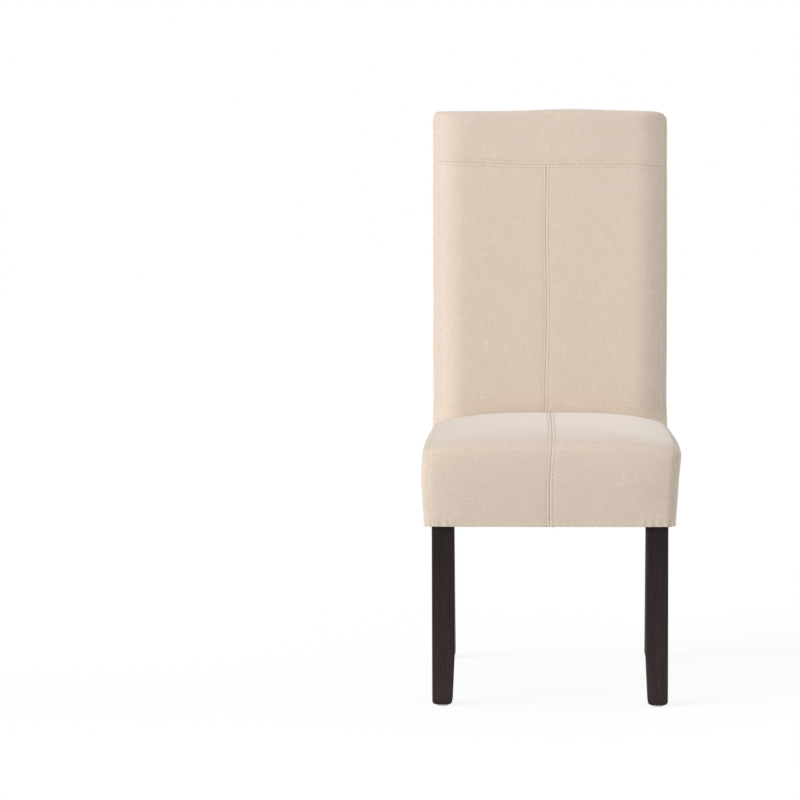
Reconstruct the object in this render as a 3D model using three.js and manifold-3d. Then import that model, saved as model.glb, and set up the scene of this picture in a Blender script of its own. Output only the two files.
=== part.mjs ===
// A parsons dining chair: a hardwood frame with a tall upholstered back and a box seat on four legs.
// Millimetres, +Z up. The front faces -Y, and the origin is on the floor under the middle of the
// chair's overall box.
import * as THREE from "three";
import { mergeVertices } from "three/addons/utils/BufferGeometryUtils.js";
import Module from "manifold-3d";

const wasm = await Module();
wasm.setup();

// Fits shared by all pieces
const GAP = 0.3; // clearance between pieces that touch
const OVERRUN = 6; // how far a cutting block passes the faces that it cuts

// Overall sizes of the upholstered chair
const OVERALL_HEIGHT = 1016;
const OVERALL_DEPTH = 611;
const HEM_HEIGHT = 309; // underside of the upholstery above the floor

// Seat upholstery
const SEAT_WIDTH = 439; // across the front corners
const SEAT_NARROWING = 3; // how far each side of the seat comes in where it meets the back
const SEAT_DEPTH = 415; // front of the seat to the face of the back
const SEAT_EDGE_RISE = 140; // side edges of the seat above the hem
const SEAT_CROWN = 18; // rise of the middle over the side edges
const SEAT_SHOULDER = 11; // how much the top slopes down more towards its side seams
const SEAT_ROLL = 18; // radius of the seat's edges
const HEM_DRAW_IN = 6; // how far the side walls are pulled in at the hem
const SEAT_WING = 8; // how far the seat's sides reach past the face of the back

// Back upholstery
const BACK_INSET = 5.5; // each side of the back, at the hem, from the side of the seat
const BACK_FLARE = 5.5; // how far each side of the back has gone out at the top
const BACK_THICKNESS = 78; // at the hem
const BACK_TOP_THICKNESS = 62;
const BACK_ROLL = 14; // radius of the back's edges
const BACK_CROWN = 7; // how far the front bulges between the side edges
const TOP_CROWN = 6; // rise of the top edge between its corners
const LEAN_START_RISE = 91; // height above the hem at which the back starts to lean
const BAND_DEPTH = 103; // the top band, from the top edge down to the cross seam

// Cloth and its seams
const COVER = 1.6; // upholstery cloth with its backing
const SEAM_GAP = 0.4; // parting between two sewn panels
const SIDE_SEAM = 8; // distance of the side seams from the side walls
const SEAM_SINK = 3; // how deep a seam pulls the seat's padding in
const BACK_SEAM_SINK = 1.6; // the same on the back
const SEAM_SPREAD = 14; // distance over which the padding dips towards a seam
const HEM_FOLD = 22; // width of cloth folded under the frame

// Padding
const BACK_FOAM = 28; // foam slab in front of the back's webbing
const BACK_TUCK = 6; // lower edge of the back's front padding above the seat's webbing
const BACK_WADDING = 6; // padding between the back frame and the rear cloth

// Legs and frame
const FRONT_FRAME_MARGIN = 19.5; // side of the seat to the outer face of a front leg
const REAR_FRAME_MARGIN = 8; // side of the back, at the hem, to the outer face of a rear post
const FRONT_FRAME_INSET = 16; // front of the seat to the faces of the legs and front rail
const LEG_SIZE = 38; // square section of a front leg
const LEG_TAPER = 4; // how much each inner side of a front leg narrows at the foot
const LEG_TAPER_HEIGHT = 86; // height of that taper
const LEG_ROUND = 3; // rounding of the legs' edges
const POST_WIDTH = 28; // rear posts, side to side
const FOOT_SETBACK = 103; // front of the rear foot behind the face of the back
const FOOT_DEPTH = 34; // rear foot, front to back
const RAIL_THICKNESS = 22;
const RAIL_HEIGHT = 74;
const BACK_RAIL_HEIGHT = 56;
const BACK_RAIL_THICKNESS = 17;
const TOP_RAIL_DROP = 14; // top rail below the top ends of the posts
const POST_TOP_DROP = 30; // top ends of the posts below the top of the back
const MIDDLE_RAIL_RISE = 51; // middle of the lower back rail above the side edges of the seat
const TENON_THICKNESS = 10;
const TENON_SHOULDER = 10; // how far a tenon is set in from the rail's edges
const TENON_LENGTH = 17;
const SIDE_TENON_LENGTH = 12; // side rails' rear tenons stop before the rear rail's

// Corner blocks and their screws
const BLOCK_LEG = 56; // length of a block along each rail
const BLOCK_HEIGHT = 44;
const BLOCK_LIFT = 14; // block above the underside of the rails
const SCREW_LENGTH = 38;
const SCREW_RADIUS = 2.1;
const SCREW_HEAD_RADIUS = 4.4;
const SCREW_HEAD_HEIGHT = 2.4;
const SCREW_END_DISTANCE = 25; // screw from the end of the block's long face

// Glides
const GLIDE_RADIUS = 11;
const GLIDE_HEIGHT = 3;
const GLIDE_EDGE = 1; // chamfer of the glide's rim
const GLIDE_NAIL_RADIUS = 1.5;
const GLIDE_NAIL_LENGTH = 14;

// Webbing
const WEB_WIDTH = 50;
const WEB_THICKNESS = 1.8;
const WEB_END_MARGIN = 3; // strap ends from the outer edge of their rail
const SEAT_STRAPS = 3; // straps each way
const SEAT_STRAP_SPACING = 106;
const BACK_STRAPS = 3; // spread evenly between the two back rails

// Dust cover
const DUST_COVER = 0.8;
const DUST_COVER_MARGIN = 12; // edge of the dust cover from the hem
const DUST_COVER_LEG_GAP = 2; // between the dust cover and the legs

// Mesh fineness
const EDGE_CELLS = 2; // cells of each face that bend round an edge
const LATHE_SIDES = 12;
const HALF = 1 / 2;
const QUARTER_TURN = Math.PI / 2;

// Widths worked out from the sizes above
const SEAT_REAR_WIDTH = SEAT_WIDTH - 2 * SEAT_NARROWING;
const BACK_WIDTH = SEAT_REAR_WIDTH - 2 * BACK_INSET;
const BACK_TOP_WIDTH = BACK_WIDTH + 2 * BACK_FLARE;
const FRONT_FRAME_WIDTH = SEAT_WIDTH - 2 * FRONT_FRAME_MARGIN; // across the outer faces of the front legs
const REAR_FRAME_WIDTH = BACK_WIDTH - 2 * REAR_FRAME_MARGIN; // across the outer faces of the rear posts

// Heights and depths worked out from the sizes above. Depths are measured from the front of the seat.
const SEAT_EDGE_HEIGHT = HEM_HEIGHT + SEAT_EDGE_RISE;
const LEAN_START = HEM_HEIGHT + LEAN_START_RISE;
const MIDDLE_RAIL_HEIGHT = SEAT_EDGE_HEIGHT + MIDDLE_RAIL_RISE;
const BACK_TOP = OVERALL_HEIGHT - TOP_CROWN;
const RAIL_BOTTOM = HEM_HEIGHT + COVER + GAP;
const RAIL_TOP = RAIL_BOTTOM + RAIL_HEIGHT;
const WEB_BOTTOM = RAIL_TOP + GAP;
const WEB_TOP = WEB_BOTTOM + WEB_THICKNESS + (WEB_THICKNESS + GAP) * HALF;
const SEAT_FOAM_BOTTOM = WEB_TOP + GAP;
const BACK_FRONT_END = SEAT_FOAM_BOTTOM + BACK_TUCK; // lower edge of the back's front padding and cloth
const WEB_FACE = COVER + BACK_FOAM + 2 * GAP; // depth of the back straps behind the back's face
const POST_FACE = WEB_FACE + WEB_THICKNESS + GAP; // depth of the posts' fronts behind the back's face
const POST_REAR_COVER = COVER + BACK_WADDING + 2 * GAP; // rear of the posts to the rear of the back
const POST_TOP = BACK_TOP - POST_TOP_DROP;
const TOP_RAIL_HEIGHT = POST_TOP - TOP_RAIL_DROP - BACK_RAIL_HEIGHT * HALF; // middle of the top rail
const BACK_STRAP_SPACING = (TOP_RAIL_HEIGHT - MIDDLE_RAIL_HEIGHT) / (BACK_STRAPS + 1);
const LEAN = OVERALL_DEPTH - SEAT_DEPTH - BACK_TOP_THICKNESS;
const CROSS_SEAM_HEIGHT = OVERALL_HEIGHT - BAND_DEPTH;
const UNDER_HEM = HEM_HEIGHT - OVERRUN;
const OVER_TOP = OVERALL_HEIGHT + OVERRUN;
const REACH = OVERALL_DEPTH + OVERALL_HEIGHT; // further than any point of the chair

const LEAN_POWER = 1.4; // how the lean grows towards the top
const DRAW_IN_POWER = 1.5;
const SEAT_CROWN_POWER = 4;
const SHOULDER_POWER = 6;
const SHOULDER_DEPTH_POWER = 3; // how fast that slope fades below the top
const BACK_CROWN_POWER = 2.6;
const FRONT_CROWN_SHARE = 0.5; // crown left at the front edge of the seat
const CROWN_RISE_SHARE = 0.45; // share of the seat's depth over which the crown rises
const THICKNESS_MARGIN_SHARE = 0.2; // share of the back's thickness that keeps its distance to a face

const LEAN_ROW_SHARES = [0, 0.08, 0.17, 0.27, 0.37, 0.48, 0.59, 0.7, 0.9, 1];
const leanRows = LEAN_ROW_SHARES.map((share) => LEAN_START + share * (BACK_TOP - LEAN_START));

const clothMaterial = new THREE.MeshStandardMaterial({ color: 0xe0d4c4, roughness: 0.95, metalness: 0 });
const legMaterial = new THREE.MeshStandardMaterial({ color: 0x33282a, roughness: 0.45, metalness: 0 });
const frameMaterial = new THREE.MeshStandardMaterial({ color: 0xc9a678, roughness: 0.8, metalness: 0 });
const foamMaterial = new THREE.MeshStandardMaterial({ color: 0xe8dfa8, roughness: 1, metalness: 0 });
const webbingMaterial = new THREE.MeshStandardMaterial({ color: 0x8a6a48, roughness: 0.9, metalness: 0 });
const steelMaterial = new THREE.MeshStandardMaterial({ color: 0xb9b49a, roughness: 0.4, metalness: 0.9 });
const glideMaterial = new THREE.MeshStandardMaterial({ color: 0xe9e7e1, roughness: 0.5, metalness: 0 });
const dustMaterial = new THREE.MeshStandardMaterial({ color: 0x1d1d1f, roughness: 1, metalness: 0 });

// Everything is measured from the front of the seat; the group is centred at the end.
const chair = new THREE.Group();
const SIDES = [["left", -1], ["right", 1]];

function clamp(value, low, high) {
  return Math.min(Math.max(value, low), high);
}

function mix(from, to, share) {
  return from + (to - from) * share;
}

// A closed geometry as a solid that can be cut and joined.
function solidOf(geometry) {
  const bare = new THREE.BufferGeometry();
  bare.setAttribute("position", geometry.getAttribute("position"));
  bare.setIndex(geometry.index);
  const merged = mergeVertices(bare);
  return new wasm.Manifold(
    new wasm.Mesh({
      numProp: 3,
      vertProperties: new Float32Array(merged.attributes.position.array),
      triVerts: new Uint32Array(merged.index.array),
    }),
  );
}

// A solid as a geometry for a mesh.
function geometryOf(solid) {
  const { vertProperties, triVerts } = solid.getMesh();
  const geometry = new THREE.BufferGeometry();
  geometry.setAttribute("position", new THREE.BufferAttribute(vertProperties, 3));
  geometry.setIndex(new THREE.BufferAttribute(triVerts, 1));
  geometry.computeVertexNormals();
  return geometry;
}

function addMesh(name, geometry, material) {
  const mesh = new THREE.Mesh(geometry, material);
  mesh.name = name;
  chair.add(mesh);
  return mesh;
}

// A mesh as a solid in the chair's frame.
function placedSolid(mesh) {
  mesh.updateMatrixWorld(true);
  return solidOf(mesh.geometry).transform(mesh.matrixWorld.elements);
}

// Cuts tools that are given in the chair's frame out of a mesh that stays where it is.
function cutMesh(mesh, tools) {
  mesh.updateMatrixWorld(true);
  const inverse = mesh.matrixWorld.clone().invert().elements;
  let solid = solidOf(mesh.geometry);
  for (const tool of tools) solid = solid.subtract(tool.transform(inverse));
  mesh.geometry = geometryOf(solid);
}

// A box between two corners.
function block(low, high) {
  const size = new THREE.Vector3().subVectors(high, low);
  const centre = new THREE.Vector3().addVectors(high, low).multiplyScalar(HALF);
  const geometry = new THREE.BoxGeometry(size.x, size.y, size.z);
  return geometry.translate(centre.x, centre.y, centre.z);
}

function blockSolid(low, high) {
  return solidOf(block(low, high));
}

function point(x, y, z) {
  return new THREE.Vector3(x, y, z);
}

// Grid lines from low to high: cells that fan out evenly round each edge, and a flat parted at shares.
function gridLines(low, high, radius, flatShares) {
  const edge = [];
  for (let i = 0; i < EDGE_CELLS && radius > 0; i++) {
    edge.push(radius * (1 - Math.tan(QUARTER_TURN * HALF * (1 - i / EDGE_CELLS))));
  }
  const flat = flatShares.map((share) => mix(low + radius, high - radius, share));
  return [...edge.map((x) => low + x), ...flat, ...edge.reverse().map((x) => high - x)];
}

// A box whose faces are parted by the given grid lines.
function griddedBox(lines) {
  const cells = lines.map((line) => line.length - 1);
  const geometry = new THREE.BoxGeometry(1, 1, 1, ...cells);
  const position = geometry.attributes.position;
  for (let i = 0; i < position.count; i++) {
    const at = [position.getX(i), position.getY(i), position.getZ(i)];
    const placed = at.map((value, axis) => lines[axis][Math.round((value + HALF) * cells[axis])]);
    position.setXYZ(i, ...placed);
  }
  return geometry;
}

// Rounds the edges of a gridded box and then moves its points as the map says.
function rounded(geometry, radius, map) {
  geometry.computeBoundingBox();
  const inner = geometry.boundingBox.clone().expandByScalar(-radius);
  const at = new THREE.Vector3();
  const core = new THREE.Vector3();
  const position = geometry.attributes.position;
  for (let i = 0; i < position.count; i++) {
    at.fromBufferAttribute(position, i);
    inner.clampPoint(at, core);
    at.sub(core);
    if (at.length() > 0) at.setLength(radius);
    position.setXYZ(i, ...map(...at.add(core).toArray()));
  }
  return geometry;
}

// Depth of the back's face behind the front of the seat at height z. It runs straight between the
// heights in leanRows, so that whatever has those rows lies parallel to it.
function backFace(z) {
  const cell = clamp(leanRows.filter((row) => row <= z).length, 1, leanRows.length - 1);
  const [low, high] = [leanRows[cell - 1], leanRows[cell]];
  const leanAt = (row) => LEAN * ((row - LEAN_START) / (BACK_TOP - LEAN_START)) ** LEAN_POWER;
  return SEAT_DEPTH + mix(leanAt(low), leanAt(high), Math.max(0, (z - low) / (high - low)));
}

function heightShare(z) {
  return (z - HEM_HEIGHT) / (BACK_TOP - HEM_HEIGHT);
}

function backThickness(z) {
  return mix(BACK_THICKNESS, BACK_TOP_THICKNESS, heightShare(z));
}

// How much thinner the back is at height z than at its hem.
function backSlim(z) {
  return BACK_THICKNESS - backThickness(z);
}

function backHalfWidth(z) {
  return mix(BACK_WIDTH, BACK_TOP_WIDTH, heightShare(z)) * HALF;
}

// How far, from 0 to 1, the padding is pulled in at a distance from a seam.
function dip(distance) {
  return Math.exp(-((distance / SEAM_SPREAD) ** 2));
}

// Straight back to real back: x across, b from the front face to the rear face, z up.
function backMap(x, b, z) {
  const across = (2 * x) / BACK_WIDTH;
  const front = clamp(1 - b / (BACK_THICKNESS * HALF), 0, 1);
  const up = clamp(heightShare(z), 0, 1);
  const bulge = BACK_CROWN * Math.max(0, 1 - Math.abs(across) ** BACK_CROWN_POWER);
  const crossSeam = dip(z - CROSS_SEAM_HEIGHT);
  const centreSeam = z < CROSS_SEAM_HEIGHT ? dip(x) : 0;
  const sink = BACK_SEAM_SINK * Math.max(crossSeam, centreSeam);
  const margin = BACK_THICKNESS * THICKNESS_MARGIN_SHARE;
  const deep = clamp((b - margin) / (BACK_THICKNESS - 2 * margin), 0, 1);
  const depth = b - backSlim(z) * deep + (sink - bulge) * front;
  const rise = TOP_CROWN * Math.max(0, 1 - across ** 2) * up ** 2;
  return [across * backHalfWidth(z), backFace(z) + depth, z + rise];
}

const BACK_X_SHARES = [0, 0.2, 0.38, 0.46, 0.5, 0.54, 0.62, 0.8, 1];
const BACK_B_SHARES = [0, 0.5, 1];

// Heights of the rows of a piece of the back: the rows of the lean, and three at the cross seam.
function backRows(low, high, radius) {
  const seam = [CROSS_SEAM_HEIGHT - SEAM_SPREAD, CROSS_SEAM_HEIGHT, CROSS_SEAM_HEIGHT + SEAM_SPREAD];
  const inside = [...leanRows, ...seam].filter((z) => z > low + radius && z < high - radius);
  return [...gridLines(low, high, radius, [0, 1]), ...inside].sort((a, b) => a - b);
}

// The outer form of the back, smaller by inset all round, down to the hem.
function backForm(inset) {
  const radius = BACK_ROLL - inset;
  const half = BACK_WIDTH * HALF - inset;
  const low = HEM_HEIGHT - BACK_ROLL + inset;
  const lines = [
    gridLines(-half, half, radius, BACK_X_SHARES),
    gridLines(inset, BACK_THICKNESS - inset, radius, BACK_B_SHARES),
    backRows(low, BACK_TOP - inset, radius),
  ];
  const whole = solidOf(rounded(griddedBox(lines), radius, backMap));
  return whole.subtract(underBlock(HEM_HEIGHT + inset));
}

// Everything below height z.
function underBlock(z) {
  return blockSolid(point(-REACH, -REACH, -REACH), point(REACH, REACH, z));
}

// A slice across the whole back between two depths behind its face, from low to high.
function backSlice(front, rear, low, high) {
  const lines = [
    gridLines(-SEAT_WIDTH, SEAT_WIDTH, 0, [0, 1]),
    gridLines(front, rear, 0, [0, 1]),
    backRows(low, high, 0),
  ];
  const bend = (x, b, z) => [x, backFace(z) + b - (b > BACK_THICKNESS * HALF ? backSlim(z) : 0), z];
  return solidOf(rounded(griddedBox(lines), 0, bend));
}

// Straight seat to real seat: x across, y from the front, z up.
function seatMap(x, y, z) {
  const across = (2 * x) / SEAT_WIDTH;
  const along = clamp(y / SEAT_DEPTH, 0, 1);
  const up = clamp((z - HEM_HEIGHT) / (SEAT_EDGE_HEIGHT - SEAT_ROLL - HEM_HEIGHT), 0, 1);
  const drawIn = HEM_DRAW_IN * (1 - up) ** DRAW_IN_POWER;
  const half = mix(SEAT_WIDTH, SEAT_REAR_WIDTH, along) * HALF - drawIn;
  const risen = Math.sin(clamp(along / CROWN_RISE_SHARE, 0, 1) * QUARTER_TURN);
  const height = clamp((z - SEAT_FOAM_BOTTOM) / (SEAT_EDGE_HEIGHT - SEAT_FOAM_BOTTOM), 0, 1);
  const arch = Math.max(0, 1 - Math.abs(across) ** SEAT_CROWN_POWER);
  const crown = SEAT_CROWN * mix(FRONT_CROWN_SHARE, 1, risen) * arch;
  const shoulder = SEAT_SHOULDER * Math.abs(across) ** SHOULDER_POWER * height ** SHOULDER_DEPTH_POWER;
  const sink = SEAM_SINK * dip(x);
  return [across * half, y + (drawIn + sink) * (1 - along), z + (crown - sink) * height - shoulder];
}

const SEAT_X_SHARES = [0, 0.2, 0.38, 0.46, 0.5, 0.54, 0.62, 0.8, 1];
const SEAT_Y_SHARES = [0, 0.1, 0.28, 0.55, 0.82, 1];
const SEAT_Z_SHARES = [0, 0.25, 0.6, 1];

// The outer form of the seat, smaller by inset all round, from the hem up and back to the wing.
function seatForm(inset) {
  const radius = SEAT_ROLL - inset;
  const half = SEAT_WIDTH * HALF - inset;
  const rear = SEAT_DEPTH + SEAT_WING;
  const lines = [
    gridLines(-half, half, radius, SEAT_X_SHARES),
    gridLines(inset, rear + SEAT_ROLL, radius, SEAT_Y_SHARES),
    gridLines(HEM_HEIGHT - SEAT_ROLL + inset, SEAT_EDGE_HEIGHT - inset, radius, SEAT_Z_SHARES),
  ];
  const whole = solidOf(rounded(griddedBox(lines), radius, seatMap));
  const behind = blockSolid(point(-REACH, rear, 0), point(REACH, REACH, REACH));
  return whole.subtract(underBlock(HEM_HEIGHT + inset)).subtract(behind);
}

// The region beside a side seam of the seat, on the side that sign gives.
function seatSideRegion(sign, clearance) {
  const seam = SEAT_WIDTH * HALF - SIDE_SEAM + clearance;
  const ends = [sign * seam, sign * SEAT_WIDTH].sort((a, b) => a - b);
  const lines = [
    gridLines(...ends, 0, [0, 1]),
    gridLines(-OVERRUN, SEAT_DEPTH + SEAT_WING + OVERRUN, 0, SEAT_Y_SHARES),
    gridLines(UNDER_HEM, SEAT_EDGE_HEIGHT + SEAT_CROWN, 0, SEAT_Z_SHARES),
  ];
  return solidOf(rounded(griddedBox(lines), 0, seatMap));
}

// The region beside a side seam of the back, on the side that sign gives.
function backSideRegion(sign, clearance) {
  const [low, high] = [UNDER_HEM, OVER_TOP];
  const seamAt = (z) => sign * (backHalfWidth(z) - SIDE_SEAM + clearance);
  const outline = new THREE.Shape();
  outline.moveTo(seamAt(low), low);
  outline.lineTo(sign * SEAT_WIDTH, low);
  outline.lineTo(sign * SEAT_WIDTH, high);
  outline.lineTo(seamAt(high), high);
  const geometry = new THREE.ExtrudeGeometry(outline, { depth: REACH, bevelEnabled: false });
  return solidOf(geometry.rotateX(QUARTER_TURN).translate(0, REACH, 0));
}

// A flat outline in the side view, given as [depth, height] points, extruded to a width across.
function sideExtrusion(points, width, bevel) {
  const outline = new THREE.Shape(points.map(([y, z]) => new THREE.Vector2(y, z)));
  const geometry = new THREE.ExtrudeGeometry(outline, {
    depth: width - 2 * bevel,
    bevelEnabled: bevel > 0,
    bevelSize: bevel,
    bevelThickness: bevel,
    bevelOffset: -bevel,
    bevelSegments: EDGE_CELLS,
  });
  geometry.translate(0, 0, bevel - width * HALF);
  return geometry.rotateX(QUARTER_TURN).rotateZ(QUARTER_TURN);
}

// A front leg in its own frame: middle of its top section at x 0, y 0, and its foot at z 0.
function frontLegGeometry(sign) {
  const half = LEG_SIZE * HALF;
  const height = RAIL_TOP - GLIDE_HEIGHT;
  const taperShare = LEG_TAPER_HEIGHT / height;
  const lines = [
    gridLines(-half, half, LEG_ROUND, [0, 1]),
    gridLines(-half, half, LEG_ROUND, [0, 1]),
    gridLines(0, height + LEG_ROUND, LEG_ROUND, [0, taperShare * HALF, taperShare, 1]),
  ];
  const taper = (x, y, z) => {
    const narrow = LEG_TAPER * clamp(1 - z / LEG_TAPER_HEIGHT, 0, 1);
    const innerX = (half - sign * x) / LEG_SIZE;
    const innerY = (half + y) / LEG_SIZE;
    return [x + sign * narrow * innerX, y - narrow * innerY, z];
  };
  const whole = solidOf(rounded(griddedBox(lines), LEG_ROUND, taper));
  const above = blockSolid(point(-LEG_SIZE, -LEG_SIZE, height), point(LEG_SIZE, LEG_SIZE, 2 * height));
  return geometryOf(whole.subtract(above));
}

// A rear post and leg as one piece, in the side view: splayed below the hem, leaning above the seat.
function postOutline() {
  const rows = [...leanRows.filter((z) => z < POST_TOP), POST_TOP];
  const front = [[SEAT_DEPTH + FOOT_SETBACK, GLIDE_HEIGHT], [SEAT_DEPTH + POST_FACE, HEM_HEIGHT]];
  const rear = [
    [SEAT_DEPTH + FOOT_SETBACK + FOOT_DEPTH, GLIDE_HEIGHT],
    [SEAT_DEPTH + backThickness(HEM_HEIGHT) - POST_REAR_COVER, HEM_HEIGHT],
  ];
  for (const z of rows) {
    front.push([backFace(z) + POST_FACE, z]);
    rear.push([backFace(z) + backThickness(z) - POST_REAR_COVER, z]);
  }
  return [...rear, ...front.reverse()];
}

// A rail with a tenon at each end, lying along x about its own middle.
function railGeometry(length, height, thickness, tenons) {
  const [left, right] = tenons;
  const body = blockSolid(
    point(-length * HALF, -thickness * HALF, -height * HALF),
    point(length * HALF, thickness * HALF, height * HALF),
  );
  const tongue = blockSolid(
    point(-length * HALF - left, -TENON_THICKNESS * HALF, TENON_SHOULDER - height * HALF),
    point(length * HALF + right, TENON_THICKNESS * HALF, height * HALF - TENON_SHOULDER),
  );
  return geometryOf(body.add(tongue));
}

// The mortises that take a rail's tenons, as one long bar in the rail's place.
function mortiseBar(rail, length, height, tenons) {
  const [left, right] = tenons;
  const bar = block(
    point(-length * HALF - left - GAP, -TENON_THICKNESS * HALF - GAP, TENON_SHOULDER - height * HALF - GAP),
    point(length * HALF + right + GAP, TENON_THICKNESS * HALF + GAP, height * HALF - TENON_SHOULDER + GAP),
  );
  rail.updateMatrixWorld(true);
  return solidOf(bar).transform(rail.matrixWorld.elements);
}

// A round piece from a profile of [radius, height] points, standing on z 0.
function turned(profile) {
  const points = profile.map(([radius, height]) => new THREE.Vector2(radius, height));
  return new THREE.LatheGeometry(points, LATHE_SIDES).rotateX(QUARTER_TURN);
}

function rodSolid(radius, low, high) {
  return solidOf(turned([[0, low], [radius, low], [radius, high], [0, high]]));
}

// Legs, posts and rails
const frontLegs = SIDES.map(([side, sign]) => {
  const leg = addMesh(`front_leg_${side}`, frontLegGeometry(sign), legMaterial);
  const middle = FRONT_FRAME_INSET + LEG_SIZE * HALF;
  leg.position.set(sign * (FRONT_FRAME_WIDTH - LEG_SIZE) * HALF, middle, GLIDE_HEIGHT);
  return leg;
});

const rearPosts = SIDES.map(([side, sign]) => {
  const geometry = sideExtrusion(postOutline(), POST_WIDTH, LEG_ROUND);
  const post = addMesh(`rear_post_${side}`, geometry, legMaterial);
  post.position.x = sign * (REAR_FRAME_WIDTH - POST_WIDTH) * HALF;
  return post;
});

const legSolids = [...frontLegs, ...rearPosts].map((leg) => placedSolid(leg));

// Room that the cloth and the dust cover leave round a leg, as copies of the leg pushed aside.
function roomRound(solid, room) {
  const diagonal = [[-1, -1], [-1, 1], [1, -1], [1, 1]];
  const copies = diagonal.map(([x, y]) => solid.translate([x * room, y * room, 0]));
  return copies.reduce((whole, copy) => whole.add(copy), solid);
}

const RAIL_MIDDLE = RAIL_BOTTOM + RAIL_HEIGHT * HALF;
const REAR_RAIL_DEPTH = SEAT_DEPTH + POST_FACE + (BACK_THICKNESS - POST_FACE - POST_REAR_COVER) * HALF;

function addRail(name, length, height, thickness, tenons) {
  const rail = addMesh(name, railGeometry(length, height, thickness, tenons), frameMaterial);
  rail.userData = { length, height, tenons };
  return rail;
}

const frontRailLength = FRONT_FRAME_WIDTH - 2 * LEG_SIZE - 2 * GAP;
const frontRail = addRail("front_seat_rail", frontRailLength, RAIL_HEIGHT, RAIL_THICKNESS, [
  TENON_LENGTH,
  TENON_LENGTH,
]);
frontRail.position.set(0, FRONT_FRAME_INSET + RAIL_THICKNESS * HALF, RAIL_MIDDLE);

const rearRailLength = REAR_FRAME_WIDTH - 2 * POST_WIDTH - 2 * GAP;
const rearRail = addRail("rear_seat_rail", rearRailLength, RAIL_HEIGHT, RAIL_THICKNESS, [
  TENON_LENGTH,
  TENON_LENGTH,
]);
rearRail.position.set(0, REAR_RAIL_DEPTH, RAIL_MIDDLE);

const sideRailFront = FRONT_FRAME_INSET + LEG_SIZE + GAP;
const sideRailRear = SEAT_DEPTH + POST_FACE - GAP;
const sideRailX = (FRONT_FRAME_WIDTH - RAIL_THICKNESS) * HALF;
const sideRails = SIDES.map(([side, sign]) => {
  const length = sideRailRear - sideRailFront;
  const rail = addRail(`side_seat_rail_${side}`, length, RAIL_HEIGHT, RAIL_THICKNESS, [
    TENON_LENGTH,
    SIDE_TENON_LENGTH,
  ]);
  rail.rotation.z = QUARTER_TURN;
  rail.position.set(sign * sideRailX, (sideRailFront + sideRailRear) * HALF, RAIL_MIDDLE);
  return rail;
});

// A rail of the back at height z, turned to the lean of the posts there.
function addBackRail(name, z) {
  const rail = addRail(name, rearRailLength, BACK_RAIL_HEIGHT, BACK_RAIL_THICKNESS, [
    TENON_LENGTH,
    TENON_LENGTH,
  ]);
  const reach = BACK_RAIL_HEIGHT * HALF;
  const middleAt = (height) => {
    return backFace(height) + (POST_FACE + backThickness(height) - POST_REAR_COVER) * HALF;
  };
  rail.rotation.x = -Math.atan2(middleAt(z + reach) - middleAt(z - reach), 2 * reach);
  rail.position.set(0, middleAt(z), z);
  return rail;
}

const topRail = addBackRail("back_top_rail", TOP_RAIL_HEIGHT);
const middleRail = addBackRail("back_middle_rail", MIDDLE_RAIL_HEIGHT);

const mortises = [frontRail, rearRail, ...sideRails, topRail, middleRail].map((rail) =>
  mortiseBar(rail, rail.userData.length, rail.userData.height, rail.userData.tenons),
);

// Glides nailed under the legs, and the nail holes that they need
const footPlaces = [
  ...SIDES.map(([side, sign]) => ({
    name: `glide_front_${side}`,
    x: sign * (FRONT_FRAME_WIDTH - LEG_SIZE + LEG_TAPER) * HALF,
    y: FRONT_FRAME_INSET + (LEG_SIZE - LEG_TAPER) * HALF,
  })),
  ...SIDES.map(([side, sign]) => ({
    name: `glide_rear_${side}`,
    x: sign * (REAR_FRAME_WIDTH - POST_WIDTH) * HALF,
    y: SEAT_DEPTH + FOOT_SETBACK + FOOT_DEPTH * HALF,
  })),
];

const glideHeight = GLIDE_HEIGHT - GAP;
const nailHoles = footPlaces.map(({ name, x, y }) => {
  const glide = addMesh(
    name,
    turned([
      [0, 0],
      [GLIDE_RADIUS - GLIDE_EDGE, 0],
      [GLIDE_RADIUS, GLIDE_EDGE],
      [GLIDE_RADIUS, glideHeight],
      [GLIDE_NAIL_RADIUS, glideHeight],
      [GLIDE_NAIL_RADIUS, glideHeight + GLIDE_NAIL_LENGTH],
      [0, glideHeight + GLIDE_NAIL_LENGTH],
    ]),
    glideMaterial,
  );
  glide.position.set(x, y, 0);
  return rodSolid(GLIDE_NAIL_RADIUS + GAP, 0, glideHeight + GLIDE_NAIL_LENGTH + GAP).translate([x, y, 0]);
});

// Corner blocks in the four inner corners of the seat frame, in plan, cut to clear the legs
const frontRailFace = FRONT_FRAME_INSET + RAIL_THICKNESS + GAP;
const rearRailFace = REAR_RAIL_DEPTH - RAIL_THICKNESS * HALF - GAP;
const sideRailFace = sideRailX - RAIL_THICKNESS * HALF - GAP;
const legInner = FRONT_FRAME_WIDTH * HALF - LEG_SIZE - GAP;
const postInner = REAR_FRAME_WIDTH * HALF - POST_WIDTH - GAP;

const blockPlans = {
  front: [
    [legInner, frontRailFace],
    [legInner - BLOCK_LEG, frontRailFace],
    [sideRailFace, sideRailFront + BLOCK_LEG],
    [sideRailFace, sideRailFront],
    [legInner, sideRailFront],
  ],
  rear: [
    [Math.min(postInner, sideRailFace), rearRailFace],
    [postInner - BLOCK_LEG, rearRailFace],
    [sideRailFace, sideRailRear - BLOCK_LEG],
    [sideRailFace, sideRailRear],
    [Math.min(postInner, sideRailFace), sideRailRear],
  ],
};

function addCornerBlock(end, side, sign) {
  const outline = new THREE.Shape(blockPlans[end].map(([x, y]) => new THREE.Vector2(sign * x, y)));
  const geometry = new THREE.ExtrudeGeometry(outline, { depth: BLOCK_HEIGHT, bevelEnabled: false });
  const corner = addMesh(`corner_block_${end}_${side}`, geometry, frameMaterial);
  corner.position.z = RAIL_BOTTOM + BLOCK_LIFT;
  return corner;
}

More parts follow.
